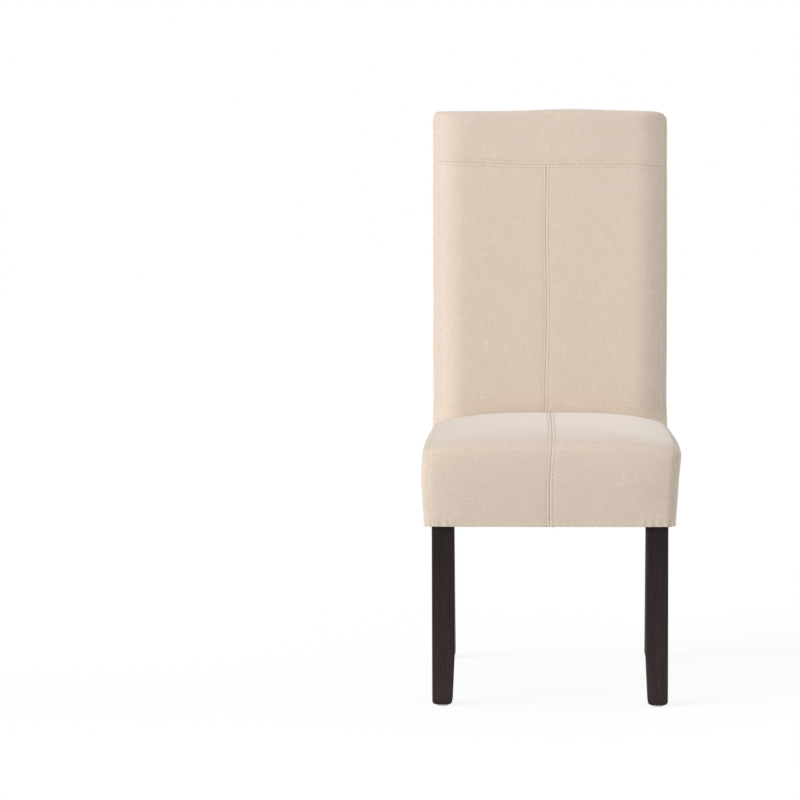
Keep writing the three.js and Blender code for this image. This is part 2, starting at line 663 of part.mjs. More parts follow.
// Two screws through the long face of a corner block, square to it, one into each rail.
function addBlockScrews(end, side, sign) {
  const [, along, across] = blockPlans[end].map(([x, y]) => new THREE.Vector2(sign * x, y));
  const face = new THREE.Vector2().subVectors(across, along);
  const reach = face.length();
  face.normalize();
  const inward = new THREE.Vector2(face.y, -face.x);
  if (inward.x * sign < 0) inward.negate();
  return [SCREW_END_DISTANCE, reach - SCREW_END_DISTANCE].map((distance, index) => {
    const seat = along.clone().addScaledVector(face, distance).addScaledVector(inward, -GAP);
    const screw = addMesh(`block_screw_${end}_${side}_${index + 1}`, screwGeometry(), steelMaterial);
    screw.rotation.set(0, QUARTER_TURN, Math.atan2(inward.y, inward.x), "ZYX");
    screw.position.set(seat.x, seat.y, RAIL_BOTTOM + BLOCK_LIFT + BLOCK_HEIGHT * HALF);
    screw.updateMatrixWorld(true);
    const hole = rodSolid(SCREW_RADIUS + GAP, -OVERRUN, SCREW_LENGTH + GAP);
    return hole.transform(screw.matrixWorld.elements);
  });
}

// A pan-head wood screw along +Z with the underside of its head at z 0.
function screwGeometry() {
  return turned([
    [0, -SCREW_HEAD_HEIGHT],
    [SCREW_HEAD_RADIUS * HALF, -SCREW_HEAD_HEIGHT],
    [SCREW_HEAD_RADIUS, -SCREW_HEAD_HEIGHT * HALF],
    [SCREW_HEAD_RADIUS, 0],
    [SCREW_RADIUS, 0],
    [SCREW_RADIUS, SCREW_LENGTH - SCREW_RADIUS],
    [0, SCREW_LENGTH],
  ]);
}

const screwHoles = [];
const cornerBlocks = [];
for (const end of ["front", "rear"]) {
  for (const [side, sign] of SIDES) {
    cornerBlocks.push(addCornerBlock(end, side, sign));
    screwHoles.push(...addBlockScrews(end, side, sign));
  }
}
for (const piece of [...cornerBlocks, frontRail, rearRail, ...sideRails]) cutMesh(piece, screwHoles);
for (const leg of [...frontLegs, ...rearPosts]) cutMesh(leg, [...mortises, ...nailHoles, ...screwHoles]);

// A strap seen from its edge: [place, height] stations along it, made as thick as webbing.
function strapGeometry(stations) {
  const under = stations.map(([at, z]) => new THREE.Vector2(at, z));
  const over = stations.map(([at, z]) => new THREE.Vector2(at, z + WEB_THICKNESS)).reverse();
  const outline = new THREE.Shape([...under, ...over]);
  const geometry = new THREE.ExtrudeGeometry(outline, { depth: WEB_WIDTH, bevelEnabled: false });
  return geometry.translate(0, 0, -WEB_WIDTH * HALF).rotateX(QUARTER_TURN);
}

// Stations of a seat strap that lies flat on its rails and weaves over and under the crossing straps.
function wovenStations(start, end, crossings, overFirst) {
  const lift = (WEB_THICKNESS + GAP) * HALF;
  const land = RAIL_THICKNESS - WEB_END_MARGIN;
  const stations = [[start, 0], [start + land, 0]];
  crossings.forEach((at, index) => {
    const up = (index % 2 === 0) === overFirst ? lift : -lift;
    const reach = WEB_WIDTH * HALF + WEB_THICKNESS;
    stations.push([at - reach, up], [at + reach, up]);
  });
  return [...stations, [end - land, 0], [end, 0]];
}

function strapPlaces(count, spacing, middle) {
  return Array.from({ length: count }, (_, i) => middle + (i - (count - 1) * HALF) * spacing);
}

const webField = [FRONT_FRAME_INSET + RAIL_THICKNESS, REAR_RAIL_DEPTH - RAIL_THICKNESS * HALF];
const webMiddle = (webField[0] + webField[1]) * HALF;
const acrossPlaces = strapPlaces(SEAT_STRAPS, SEAT_STRAP_SPACING, 0);
const alongPlaces = strapPlaces(SEAT_STRAPS, SEAT_STRAP_SPACING, webMiddle);
const webStart = FRONT_FRAME_INSET + WEB_END_MARGIN;
const webEnd = REAR_RAIL_DEPTH + RAIL_THICKNESS * HALF - WEB_END_MARGIN;
const webSide = FRONT_FRAME_WIDTH * HALF - WEB_END_MARGIN;

acrossPlaces.forEach((x, index) => {
  const stations = wovenStations(webStart, webEnd, alongPlaces, index % 2 === 0);
  const name = `seat_webbing_lengthwise_${index + 1}`;
  const strap = addMesh(name, strapGeometry(stations), webbingMaterial);
  strap.rotation.z = QUARTER_TURN;
  strap.position.set(x, 0, WEB_BOTTOM);
});
alongPlaces.forEach((y, index) => {
  const stations = wovenStations(-webSide, webSide, acrossPlaces, index % 2 === 1);
  const strap = addMesh(`seat_webbing_crosswise_${index + 1}`, strapGeometry(stations), webbingMaterial);
  strap.position.set(0, y, WEB_BOTTOM);
});

// Back straps lie on the fronts of the posts and follow their lean
for (let i = 0; i < BACK_STRAPS; i++) {
  const middle = MIDDLE_RAIL_HEIGHT + (i + 1) * BACK_STRAP_SPACING;
  const ends = [middle - WEB_WIDTH * HALF, middle + WEB_WIDTH * HALF];
  const rows = [ends[0], ...leanRows.filter((z) => z > ends[0] && z < ends[1]), ends[1]];
  const rear = rows.map((z) => [backFace(z) + WEB_FACE + WEB_THICKNESS, z]);
  const front = rows.map((z) => [backFace(z) + WEB_FACE, z]).reverse();
  const length = REAR_FRAME_WIDTH - 2 * WEB_END_MARGIN;
  addMesh(`back_webbing_${i + 1}`, sideExtrusion([...rear, ...front], length, 0), webbingMaterial);
}

// Padding of the seat: a foam slab on the webbing, and thinner pads round the rails
const backRoom = backForm(-GAP);
const seatPadding = seatForm(COVER + GAP).subtract(backRoom);
addMesh("seat_foam", geometryOf(seatPadding.subtract(underBlock(SEAT_FOAM_BOTTOM))), foamMaterial);

const padTop = SEAT_FOAM_BOTTOM - GAP;
const frameFront = FRONT_FRAME_INSET - GAP;
const frameSide = FRONT_FRAME_WIDTH * HALF + GAP;
const frontPadZone = blockSolid(point(-REACH, -REACH, RAIL_BOTTOM), point(REACH, frameFront, padTop));
addMesh("seat_front_pad", geometryOf(seatPadding.intersect(frontPadZone)), foamMaterial);
for (const [side, sign] of SIDES) {
  const ends = [sign * frameSide, sign * REACH].sort((a, b) => a - b);
  const zone = blockSolid(point(ends[0], frameFront + GAP, RAIL_BOTTOM), point(ends[1], REACH, padTop));
  addMesh(`seat_side_pad_${side}`, geometryOf(seatPadding.intersect(zone)), foamMaterial);
}

// Padding of the back: a foam slab in front, pads over the top and the sides, and wadding behind
const beforeFace = -BACK_CROWN - OVERRUN;
const behindRear = BACK_THICKNESS + OVERRUN;
const postRear = BACK_THICKNESS - POST_REAR_COVER;
const backPadding = backForm(COVER + GAP);
const slabZone = backSlice(beforeFace, WEB_FACE - GAP, BACK_FRONT_END, OVER_TOP);
const slabRoom = backSlice(beforeFace, WEB_FACE, BACK_FRONT_END - GAP, OVER_TOP);
const waddingZone = backSlice(postRear + GAP, behindRear, UNDER_HEM, OVER_TOP);
const waddingRoom = backSlice(postRear, behindRear, UNDER_HEM, OVER_TOP);
addMesh("back_foam", geometryOf(backPadding.intersect(slabZone)), foamMaterial);
addMesh("back_wadding", geometryOf(backPadding.intersect(waddingZone)), foamMaterial);

const edgePadding = backPadding.subtract(slabRoom).subtract(waddingRoom);
const topPadZone = blockSolid(point(-SEAT_WIDTH, 0, POST_TOP + GAP), point(SEAT_WIDTH, REACH, OVER_TOP));
addMesh("back_top_pad", geometryOf(edgePadding.intersect(topPadZone)), foamMaterial);
for (const [side, sign] of SIDES) {
  const ends = [sign * (REAR_FRAME_WIDTH * HALF + GAP), sign * SEAT_WIDTH].sort((a, b) => a - b);
  const zone = blockSolid(point(ends[0], 0, UNDER_HEM), point(ends[1], REACH, POST_TOP));
  addMesh(`back_side_pad_${side}`, geometryOf(edgePadding.intersect(zone)), foamMaterial);
}

// Cloth of the seat: a shell with its hem folded under, parted at the seams
const legRoom = legSolids.map((solid) => roomRound(solid, GAP));
const hemOpenings = [
  blockSolid(
    point(HEM_FOLD + SIDE_SEAM - SEAT_REAR_WIDTH * HALF, HEM_FOLD + HEM_DRAW_IN, 0),
    point(SEAT_REAR_WIDTH * HALF - HEM_FOLD - SIDE_SEAM, REACH, RAIL_BOTTOM),
  ),
  blockSolid(
    point(-FRONT_FRAME_WIDTH * HALF - GAP, HEM_FOLD + HEM_DRAW_IN, 0),
    point(FRONT_FRAME_WIDTH * HALF + GAP, sideRailFront, RAIL_BOTTOM),
  ),
];
let seatShell = seatForm(0).subtract(seatForm(COVER)).subtract(backRoom);
for (const tool of [...legRoom, ...hemOpenings]) seatShell = seatShell.subtract(tool);

// The fold under a side rail belongs to the side panel.
function sideFoldRegion(sign, clearance) {
  const inner = sign * (HEM_FOLD - clearance);
  const ends = [inner, sign * REACH].sort((a, b) => a - b);
  return blockSolid(
    point(ends[0], sideRailFront - clearance, UNDER_HEM),
    point(ends[1], REACH, HEM_HEIGHT + COVER + GAP),
  );
}

// The half of the chair on one side of the centre seam, from low to high.
function halfRegion(sign, low, high) {
  const ends = [sign * SEAM_GAP * HALF, sign * REACH].sort((a, b) => a - b);
  return blockSolid(point(ends[0], -REACH, low), point(ends[1], REACH, high));
}

for (const [side, sign] of SIDES) {
  const region = seatSideRegion(sign, SEAM_GAP * HALF).add(sideFoldRegion(sign, 0));
  const notMain = seatSideRegion(sign, -SEAM_GAP * HALF).add(sideFoldRegion(sign, SEAM_GAP));
  const main = seatShell.subtract(notMain).intersect(halfRegion(sign, 0, OVERALL_HEIGHT));
  addMesh(`seat_cover_${side}`, geometryOf(main), clothMaterial);
  addMesh(`seat_cover_side_${side}`, geometryOf(seatShell.intersect(region)), clothMaterial);
}

// Cloth of the back: top band, two front panels, two side panels and the rear panel
const frontCut = blockSolid(
  point(-REACH, 0, 0),
  point(REACH, SEAT_DEPTH + BACK_THICKNESS * HALF, BACK_FRONT_END),
);
const postMiddle = (REAR_FRAME_WIDTH - POST_WIDTH) * HALF;
const rearOpening = blockSolid(
  point(-postMiddle, SEAT_DEPTH, 0),
  point(postMiddle, SEAT_DEPTH + BACK_THICKNESS - HEM_FOLD, RAIL_BOTTOM),
);
const seatRoom = blockSolid(
  point(-sideRailX - RAIL_THICKNESS * HALF - GAP, 0, UNDER_HEM),
  point(sideRailX + RAIL_THICKNESS * HALF + GAP, SEAT_DEPTH + POST_FACE, RAIL_TOP),
);
let backShell = backForm(0).subtract(backForm(COVER));
for (const tool of [...legRoom, rearOpening, seatRoom]) backShell = backShell.subtract(tool);

const sideRegions = SIDES.map(([, sign]) => backSideRegion(sign, SEAM_GAP * HALF));
const sideRooms = SIDES.map(([, sign]) => backSideRegion(sign, -SEAM_GAP * HALF));
const rearFrom = BACK_THICKNESS - SIDE_SEAM;
const rearZone = backSlice(rearFrom + SEAM_GAP, behindRear, UNDER_HEM, OVER_TOP);
const foldZone = underBlock(BACK_FRONT_END - SEAM_GAP);
const frontZone = backSlice(beforeFace, rearFrom, BACK_FRONT_END, OVER_TOP);
const betweenSides = backShell.subtract(sideRooms[0]).subtract(sideRooms[1]).subtract(frontCut);
const frontCloth = betweenSides.intersect(frontZone);

SIDES.forEach(([side, sign], index) => {
  const lower = halfRegion(sign, HEM_HEIGHT, CROSS_SEAM_HEIGHT - SEAM_GAP * HALF);
  addMesh(`back_cover_front_${side}`, geometryOf(frontCloth.intersect(lower)), clothMaterial);
  addMesh(`back_cover_side_${side}`, geometryOf(backShell.intersect(sideRegions[index])), clothMaterial);
});
const underBand = underBlock(CROSS_SEAM_HEIGHT + SEAM_GAP * HALF);
addMesh("back_cover_top_band", geometryOf(frontCloth.subtract(underBand)), clothMaterial);
addMesh("back_cover_rear", geometryOf(betweenSides.intersect(rearZone.add(foldZone))), clothMaterial);

// Dust cover: a black sheet under the hem, cut square round the legs
const dustHalf = SEAT_REAR_WIDTH * HALF - HEM_DRAW_IN - DUST_COVER_MARGIN;
const dustFront = HEM_DRAW_IN + DUST_COVER_MARGIN;
const dustRear = SEAT_DEPTH + BACK_THICKNESS - DUST_COVER_MARGIN;
const dustLegX = legInner - DUST_COVER_LEG_GAP;
const dustLegY = sideRailFront + DUST_COVER_LEG_GAP;
const dustPostX = postInner - DUST_COVER_LEG_GAP;
const dustPostY = SEAT_DEPTH + POST_FACE - DUST_COVER_LEG_GAP;
const dustCorners = [
  [dustLegX, dustFront],
  [dustLegX, dustLegY],
  [dustHalf, dustLegY],
  [dustHalf, dustPostY],
  [dustPostX, dustPostY],
  [dustPostX, dustRear],
];
const dustMirror = dustCorners.map(([x, y]) => [-x, y]).reverse();
const dustOutline = new THREE.Shape(
  [...dustCorners, ...dustMirror].map(([x, y]) => new THREE.Vector2(x, y)),
);
const dustCover = addMesh(
  "dust_cover",
  new THREE.ExtrudeGeometry(dustOutline, { depth: DUST_COVER, bevelEnabled: false }),
  dustMaterial,
);
dustCover.position.z = HEM_HEIGHT - GAP - DUST_COVER;

// The front of the seat comes to lie as far in front of the origin as the back's top lies behind it.
const box = new THREE.Box3().setFromObject(chair, true);
chair.position.y = -(box.min.y + box.max.y) * HALF;

export default chair;
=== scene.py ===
# %% [markdown]
# # A parsons dining chair in Blender
#
# The chair has a hardwood frame under foam and cloth, with only its four legs showing. Its solids
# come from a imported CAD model, which fixes every size and place. This lesson dresses that model:
# the cloth gets its seams, stitches and puckers, the legs get their stained finish, and the pieces
# inside get a finish of their own. Lengths are written in millimetres and turned to metres once.

import math
from functools import partial

import bmesh
import bpy
import numpy as np
from mathutils import Matrix, Vector, noise
from mathutils.bvhtree import BVHTree
from mathutils.geometry import barycentric_transform


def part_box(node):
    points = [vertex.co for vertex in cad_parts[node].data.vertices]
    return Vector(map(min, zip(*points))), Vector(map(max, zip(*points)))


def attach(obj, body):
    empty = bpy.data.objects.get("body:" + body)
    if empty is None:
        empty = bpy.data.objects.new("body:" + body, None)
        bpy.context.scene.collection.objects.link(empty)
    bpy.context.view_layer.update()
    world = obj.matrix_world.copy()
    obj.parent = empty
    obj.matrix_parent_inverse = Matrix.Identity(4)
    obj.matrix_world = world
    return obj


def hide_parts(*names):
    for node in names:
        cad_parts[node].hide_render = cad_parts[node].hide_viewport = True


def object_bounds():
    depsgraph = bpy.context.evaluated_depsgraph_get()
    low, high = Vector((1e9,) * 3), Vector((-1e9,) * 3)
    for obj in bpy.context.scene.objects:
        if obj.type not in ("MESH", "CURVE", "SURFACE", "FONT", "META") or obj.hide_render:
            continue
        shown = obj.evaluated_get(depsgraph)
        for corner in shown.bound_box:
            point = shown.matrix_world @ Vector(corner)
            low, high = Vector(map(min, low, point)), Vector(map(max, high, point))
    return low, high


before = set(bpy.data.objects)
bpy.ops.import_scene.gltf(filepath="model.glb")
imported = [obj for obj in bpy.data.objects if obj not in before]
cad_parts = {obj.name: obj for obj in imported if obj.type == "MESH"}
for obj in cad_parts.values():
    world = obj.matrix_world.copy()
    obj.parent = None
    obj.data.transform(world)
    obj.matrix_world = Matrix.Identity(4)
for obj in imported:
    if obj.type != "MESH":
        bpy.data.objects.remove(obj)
cad_low, cad_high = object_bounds()
MM = 0.001
scene = bpy.context.scene
print("CAD box in mm:", [round(v / MM, 1) for v in (*cad_low, *cad_high)])

# %% [markdown]
# ## Camera
#
# The photograph was taken from about 5.5 m in front of the seat and just under the height of the
# back's top, with a long lens. The chair stands right of the middle of the picture. A lens shift
# would push the chair out of every other view, so the camera is turned and tipped instead, and a
# small roll keeps the chair's sides upright.

# %% Camera
PICTURE = 800  # pixels, both ways
FOCAL_PIXELS = 3282.7
camera_data = bpy.data.cameras.new("camera")
camera_data.sensor_width = 36
camera_data.lens = FOCAL_PIXELS / PICTURE * camera_data.sensor_width
camera_data.clip_end = 60
camera = bpy.data.objects.new("camera", camera_data)
scene.collection.objects.link(camera)
turn, tip, roll = math.radians(2.623), math.radians(4.780), math.radians(-0.224)
camera.matrix_world = (
    Matrix.Translation((0, -5.804, 0.985))
    @ Matrix.Rotation(turn, 4, "Z")
    @ Matrix.Rotation(math.pi / 2 - tip, 4, "X")
    @ Matrix.Rotation(roll, 4, "Z")
)
scene.camera = camera
print("lens in mm:", round(camera_data.lens, 1))

# %% [markdown]
# ## Materials
#
# A material is a tree of nodes. One small function adds a node, sets it and links it, and gives a
# colour ramp its stops. Colours are written as the sRGB hex values that a paint program shows, and
# one function makes them linear. A few groups of nodes are shared by several materials.

# %% Helpers for materials
def linear(hex_colour):
    """An sRGB hex colour as the linear RGBA that Blender works with."""
    values = [int(hex_colour[i : i + 2], 16) / 255 for i in (1, 3, 5)]
    return (*[v / 12.92 if v <= 0.04045 else ((v + 0.055) / 1.055) ** 2.4 for v in values], 1.0)


def add_node(tree, kind, settings=(), stops=()):
    """Adds a node. settings name its properties, or its inputs by name or number.

    An input gets a value, or a link from a socket or from a node's first output. stops: the places
    and colours of a ramp."""
    node = tree.nodes.new("ShaderNode" + kind)
    for key, value in dict(settings).items():
        if isinstance(value, bpy.types.Node):
            value = value.outputs[0]
        if isinstance(value, bpy.types.NodeSocket):
            tree.links.new(value, node.inputs[key])
        elif isinstance(key, int) or key in node.inputs:
            node.inputs[key].default_value = value
        else:
            setattr(node, key, value)
    for number, (place, colour) in enumerate(stops):
        marks = node.color_ramp.elements
        mark = marks[number] if number < 2 else marks.new(place)
        mark.position, mark.color = place, linear(colour)
    return node


def new_material(name):
    """A material without nodes, and the function that adds one to it."""
    material = bpy.data.materials.new(name)
    material.use_nodes = True
    material.node_tree.nodes.clear()
    return material, partial(add_node, material.node_tree)


def finished(material, shader):
    add_node(material.node_tree, "OutputMaterial", {"Surface": shader})
    return material


# %% Groups of nodes that materials share
def patterned_material(name, kind, settings, output, stops, relief, finish):
    """A material with one texture, which gives both its shades and its relief.

    kind, settings, output: the texture node; relief: strength, and depth in mm; finish: the shader's."""
    material, add = new_material(name)
    place = add("TexCoord")
    pattern = add(kind, {**settings, "Vector": place.outputs["Object"]}).outputs[output]
    ramp = add("ValToRGB", {0: pattern}, stops=stops)
    strength, depth = relief
    bump = add("Bump", {"Strength": strength, "Distance": depth * MM, "Height": pattern})
    shader = add("BsdfPrincipled", {**finish, "Base Color": ramp, "Normal": bump})
    return finished(material, shader)


def object_mm(add):
    """The place on the piece, in mm."""
    place = add("TexCoord").outputs["Object"]
    return add("VectorMath", {"operation": "SCALE", "Scale": 1000.0, 0: place})


def ridges(add, source, spacing):
    """Height from 0 to 1 of rounded ridges that lie side by side, spacing apart."""
    turns = add("Math", {"operation": "MULTIPLY", 1: math.pi / spacing, 0: source})
    wave = add("Math", {"operation": "SINE", 0: turns})
    return add("Math", {"operation": "ABSOLUTE", 0: wave})


def stretched_noise(add, in_mm, size, settings, shift=(0, 0, 0)):
    """Noise whose spots have the given size in mm along each axis."""
    scale = tuple(1 / length for length in size)
    place = add("Mapping", {"Scale": scale, "Location": shift, "Vector": in_mm})
    return add("TexNoise", {"Scale": 1.0, **settings, "Vector": place})


# %% From bmesh to mesh
def mesh_of(bm, name):
    """The finished mesh of a bmesh, which is then freed. Its faces are smooth."""
    for face in bm.faces:
        face.smooth = True
    mesh = bpy.data.meshes.new(name)
    bm.to_mesh(mesh)
    bm.free()
    return mesh


# %% [markdown]
# ## Floor and light
#
# The photograph has a white sweep with hardly any shadow. The floor is a plain white plane, lit to
# just about white, so it still takes the chair's soft shadow. Behind it the world is white to the
# camera and to reflections, and a softer plain light to everything else. A large soft lamp stands
# at the upper left, and two weaker ones fill from the front and from the right.

# %% Floor
bm = bmesh.new()
bmesh.ops.create_circle(bm, cap_ends=True, segments=96, radius=14)
floor = bpy.data.objects.new("floor", mesh_of(bm, "floor"))
scene.collection.objects.link(floor)
floor_material, add = new_material("white_paper_sweep")
paper = add("BsdfDiffuse", {"Color": linear("#d9d9d9")})
seen_paper = add("BsdfDiffuse", {"Color": linear("#707070")})
glow = add("Emission", {"Strength": 0.86})
both = add("AddShader", {0: seen_paper, 1: glow})
path = add("LightPath")
pick = add("MixShader", {0: path.outputs["Is Camera Ray"], 1: paper, 2: both})
floor.data.materials.append(finished(floor_material, pick))

# %% World and lamps
world = bpy.data.worlds.new("studio")
scene.world = world
world.use_nodes = True
world.node_tree.nodes.clear()
add = partial(add_node, world.node_tree)
path = add("LightPath")
seen = add("Math", {
    "operation": "MAXIMUM", 0: path.outputs["Is Camera Ray"], 1: path.outputs["Is Glossy Ray"],
})
seen_through = add("Math", {"operation": "MAXIMUM", 0: seen, 1: path.outputs["Is Transmission Ray"]})
soft = add("Background", {"Color": linear("#ffffff"), "Strength": 0.465})
white = add("Background", {"Color": linear("#ffffff")})
pick = add("MixShader", {0: seen_through, 1: soft, 2: white})
add("OutputWorld", {"Surface": pick})

LAMPS = {  # where the light comes from, how wide it looks in degrees, and its strength
    "key": ((-3.9, -2.2, 1.9), 38, 2.65),
    "front fill": ((1.2, -4.4, 0.6), 70, 0.38),
    "side fill": ((4.0, 0.8, 0.2), 60, 1.4),
}
for name, (place, width, strength) in LAMPS.items():
    lamp_data = bpy.data.lights.new(name, "SUN")
    lamp_data.angle = math.radians(width)
    lamp_data.energy = strength
    lamp = bpy.data.objects.new(name, lamp_data)
    lamp.rotation_euler = Vector(place).to_track_quat("Z", "Y").to_euler()
    scene.collection.objects.link(lamp)
scene.view_settings.view_transform = "Standard"

# %% [markdown]
# ## Upholstery cloth
#
# The cover is a linen-look polyester: a plain weave of uneven, slubby yarns in cream and oatmeal.
# To the eye it is matt, with a faint sheen on yarns that are seen edge on, fine streaks where a
# yarn is thick, and tiny darker flecks. The pattern follows each panel through a UV map in metres,
# so yarns run along the panels as they were cut.

# %% Cloth material
YARN = 1.0  # mm between yarns; the real cloth has about 0.7, drawn coarser so that it shows


def cloth_material(name, tints):
    """tints: four hex colours, for pale and dark warp and pale and dark weft yarns."""
    material, add = new_material(name)
    uv = add("UVMap", {"uv_map": "cloth"})

    def stretched(across, along, detail, seed):
        """Noise whose spots are across mm wide and along mm long."""
        settings = {"noise_dimensions": "2D", "Detail": detail, "Roughness": 0.6}
        return stretched_noise(add, in_mm, (across, along, 1), settings, (seed, seed * 2, 0))

    in_mm = add("VectorMath", {"operation": "SCALE", "Scale": 1000.0, 0: uv})
    wobble = add("TexNoise", {"noise_dimensions": "2D", "Scale": 0.12, "Detail": 2.0, "Vector": in_mm})
    wobbled = add("VectorMath", {
        "operation": "MULTIPLY_ADD", 1: (2.2, 2.2, 0), 0: wobble.outputs[1], 2: in_mm,
    })
    apart = add("SeparateXYZ", {0: wobbled})

    warp, weft = [ridges(add, apart.outputs[axis], YARN) for axis in "XY"]  # heights of the yarns
    checks = add("TexChecker", {"Scale": 1 / YARN, "Vector": wobbled})
    slub_warp = stretched(1.6, 26, 3.0, 3.7)
    slub_weft = stretched(30, 1.5, 3.0, 9.1)
    mottle = stretched(22, 26, 2.0, 5.3)

    warp_stops, weft_stops = zip((0.22, 0.74), tints[:2]), zip((0.22, 0.74), tints[2:])
    warp_colour = add("ValToRGB", {0: slub_warp}, stops=warp_stops)
    weft_colour = add("ValToRGB", {0: slub_weft}, stops=weft_stops)
    woven = add("Mix", {"data_type": "RGBA", 0: checks.outputs[1], 6: warp_colour, 7: weft_colour})
    streaky = add("Math", {
        "operation": "ADD", 0: stretched(2.6, 46, 2.0, 1.9), 1: stretched(52, 2.8, 2.0, 7.7),
    })
    mottle = add("Math", {"operation": "MULTIPLY_ADD", 1: 0.5, 0: mottle, 2: streaky})
    shade = add("ValToRGB", {0: mottle}, stops=[(0.95, "#ffffff"), (1.0, "#f6f4f1")])
    patchy = add("Mix", {
        "data_type": "RGBA", "blend_type": "MULTIPLY", 0: 1.0, 6: woven.outputs[2], 7: shade,
    })
    fleck = add("TexVoronoi", {"voronoi_dimensions": "2D", "Scale": 1 / 9, "Vector": wobbled})
    fleck_spot = add("Math", {"operation": "LESS_THAN", 1: 0.05, 0: fleck.outputs["Distance"]})
    flecked = add("Mix", {"data_type": "RGBA", 7: linear("#cbbba9"), 0: fleck_spot, 6: patchy.outputs[2]})
    relief = add("Mix", {"data_type": "FLOAT", 0: checks.outputs[1], 2: warp, 3: weft})
    slubs = add("Math", {"operation": "ADD", 0: slub_warp, 1: slub_weft})
    height = add("Math", {"operation": "MULTIPLY_ADD", 1: 0.9, 0: slubs, 2: relief})
    bump = add("Bump", {"Strength": 0.55, "Distance": 0.16 * MM, "Height": height})
    shader = add("BsdfPrincipled", {
        "Roughness": 0.7, "Specular IOR Level": 0.45, "Sheen Weight": 0.5, "Sheen Roughness": 0.4,
        "Base Color": flecked.outputs[2], "Normal": bump,
    })
    return finished(material, shader)


linen_look = cloth_material("linen_look_polyester_weave", ("#e3d5c8", "#d4c5b6", "#e1d2c4", "#d2c2b3"))

# %% [markdown]
# ## The stained legs
#
# The legs are rubberwood under an espresso stain and a satin lacquer. The stain is nearly black,
# with a reddish brown where the grain takes less of it. The grain runs along the leg, and the
# lacquer is a little thin and pale brown on rubbed edges. The same pale brown is also painted in
# more and more towards the foot: painted shade that leaves the leg darker under the seat and
# paler near the floor. Noise that is stretched along Z makes the grain.

# %% Stained wood material
PORES = (0.7, 0.7, 14)  # mm


def wood_material(name, pale, dark, edge, grain, roughness):
    """grain: width and length in mm of the streaks."""
    material, add = new_material(name)
    in_mm = object_mm(add)
    streaks = stretched_noise(
        add, in_mm, (grain[0], grain[0], grain[1]), {"Detail": 5.0, "Roughness": 0.62, "Distortion": 0.4}
    )
    pore_noise = stretched_noise(add, in_mm, PORES, {"Detail": 2.0})
    shades = [(0.3, dark), (0.72, pale)]
    ramp = add("ValToRGB", {0: streaks}, stops=shades)
    pore_spot = add("MapRange", {"From Min": 0.6, "From Max": 0.68, "To Max": 0.35, "Value": pore_noise})
    pored = add("Mix", {"data_type": "RGBA", 7: linear(dark), 0: pore_spot, 6: ramp})
    colour = pored.outputs[2]
    # edge: pale brown of edge wear, also painted as shade through the attribute, darker under the seat and
    # paler towards the foot
    if edge:
        wear_and_painted_shade = add("Attribute", {"attribute_name": "edge"})
        wear_and_painted_shade_mix = add("Math", {"operation": "MULTIPLY", 0: wear_and_painted_shade.outputs["Fac"], 1: streaks})
        colour = add("Mix", {"data_type": "RGBA", 7: linear(edge), 0: wear_and_painted_shade_mix, 6: colour}).outputs[2]
    rough = add("MapRange", {
        "From Min": 0.3, "From Max": 0.7, "To Min": roughness - 0.06, "To Max": roughness + 0.08,
        "Value": streaks,
    })
    height = add("Math", {"operation": "SUBTRACT", 0: streaks, 1: pore_spot})
    bump = add("Bump", {"Strength": 0.25, "Distance": 0.12 * MM, "Height": height})
    shader = add("BsdfPrincipled", {
        "Specular IOR Level": 0.09, "Base Color": colour, "Roughness": rough, "Normal": bump,
    })
    return finished(material, shader)


espresso = wood_material("espresso_stained_rubberwood", "#2e2525", "#211919", "#4d4341", (3.5, 90), 0.46)
bare_wood = wood_material("planed_rubberwood", "#d9bd8f", "#b8935f", None, (4, 120), 0.62)

# %% [markdown]
# ## Helpers for pieces
#
# Every finished piece stays at the origin with its place in its mesh, rides on the chair's one
# body, and gets its material; the solids that it replaces are hidden.

# %% Piece helpers
def add_piece(name, mesh, material, replaced=()):
    piece = bpy.data.objects.new(name, mesh)
    scene.collection.objects.link(piece)
    mesh.materials.clear()
    mesh.materials.append(material)
    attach(piece, "root")
    if replaced:
        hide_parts(*replaced)
    return piece


def thicken(piece, thickness):
    """Gives a sheet its thickness in mm, inwards."""
    solid = piece.modifiers.new("thickness", "SOLIDIFY")
    solid.thickness, solid.offset = thickness * MM, -1


def points_of(mesh, what="co"):
    """The points of a mesh, or their normals, one to a row."""
    values = np.zeros(len(mesh.vertices) * 3)
    mesh.vertices.foreach_get(what, values)
    return values.reshape(-1, 3)


def put_points(mesh, points):
    mesh.vertices.foreach_set("co", np.asarray(points, np.float32).ravel())
    mesh.update()


def merged_copy(node):
    """A bmesh of a CAD node with its loose triangles merged."""
    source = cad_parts[node]
    bm = bmesh.new()
    bm.from_mesh(source.data)
    bmesh.ops.remove_doubles(bm, verts=bm.verts, dist=0.002 * MM)
    return bm


def sharpen_over(bm, degrees):
    """Makes the edges sharp where two faces meet at more than the angle."""
    for edge in bm.edges:
        if len(edge.link_faces) == 2:
            edge.smooth = edge.calc_face_angle() < math.radians(degrees)


def edges_in(geometry):
    return [g for g in geometry if isinstance(g, bmesh.types.BMEdge)]


def slice_mesh(bm, place, normal, **options):
    """Cuts the faces where a plane passes through them. Returns the edges that lie on it."""
    geometry = bm.verts[:] + bm.edges[:] + bm.faces[:]
    cut = bmesh.ops.bisect_plane(bm, geom=geometry, dist=1e-6, plane_co=place, plane_no=normal, **options)
    return edges_in(cut["geom_cut"])


print("nodes in the frame:", len(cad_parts))

# %% [markdown]
# ## How the upholstery is made
#
# Seat and back are boxes with rounded edges that were bent into shape, as in the CAD. Here each
# starts as a cube whose edges are subdivided into a fine grid. The grid lines are then moved so
# that some of them run exactly along the seams, the edges are rounded, and every point is moved by
# the same map that shaped the solid. The straight place of each point is kept as an attribute, so
# later steps still know how far it is from a seam.

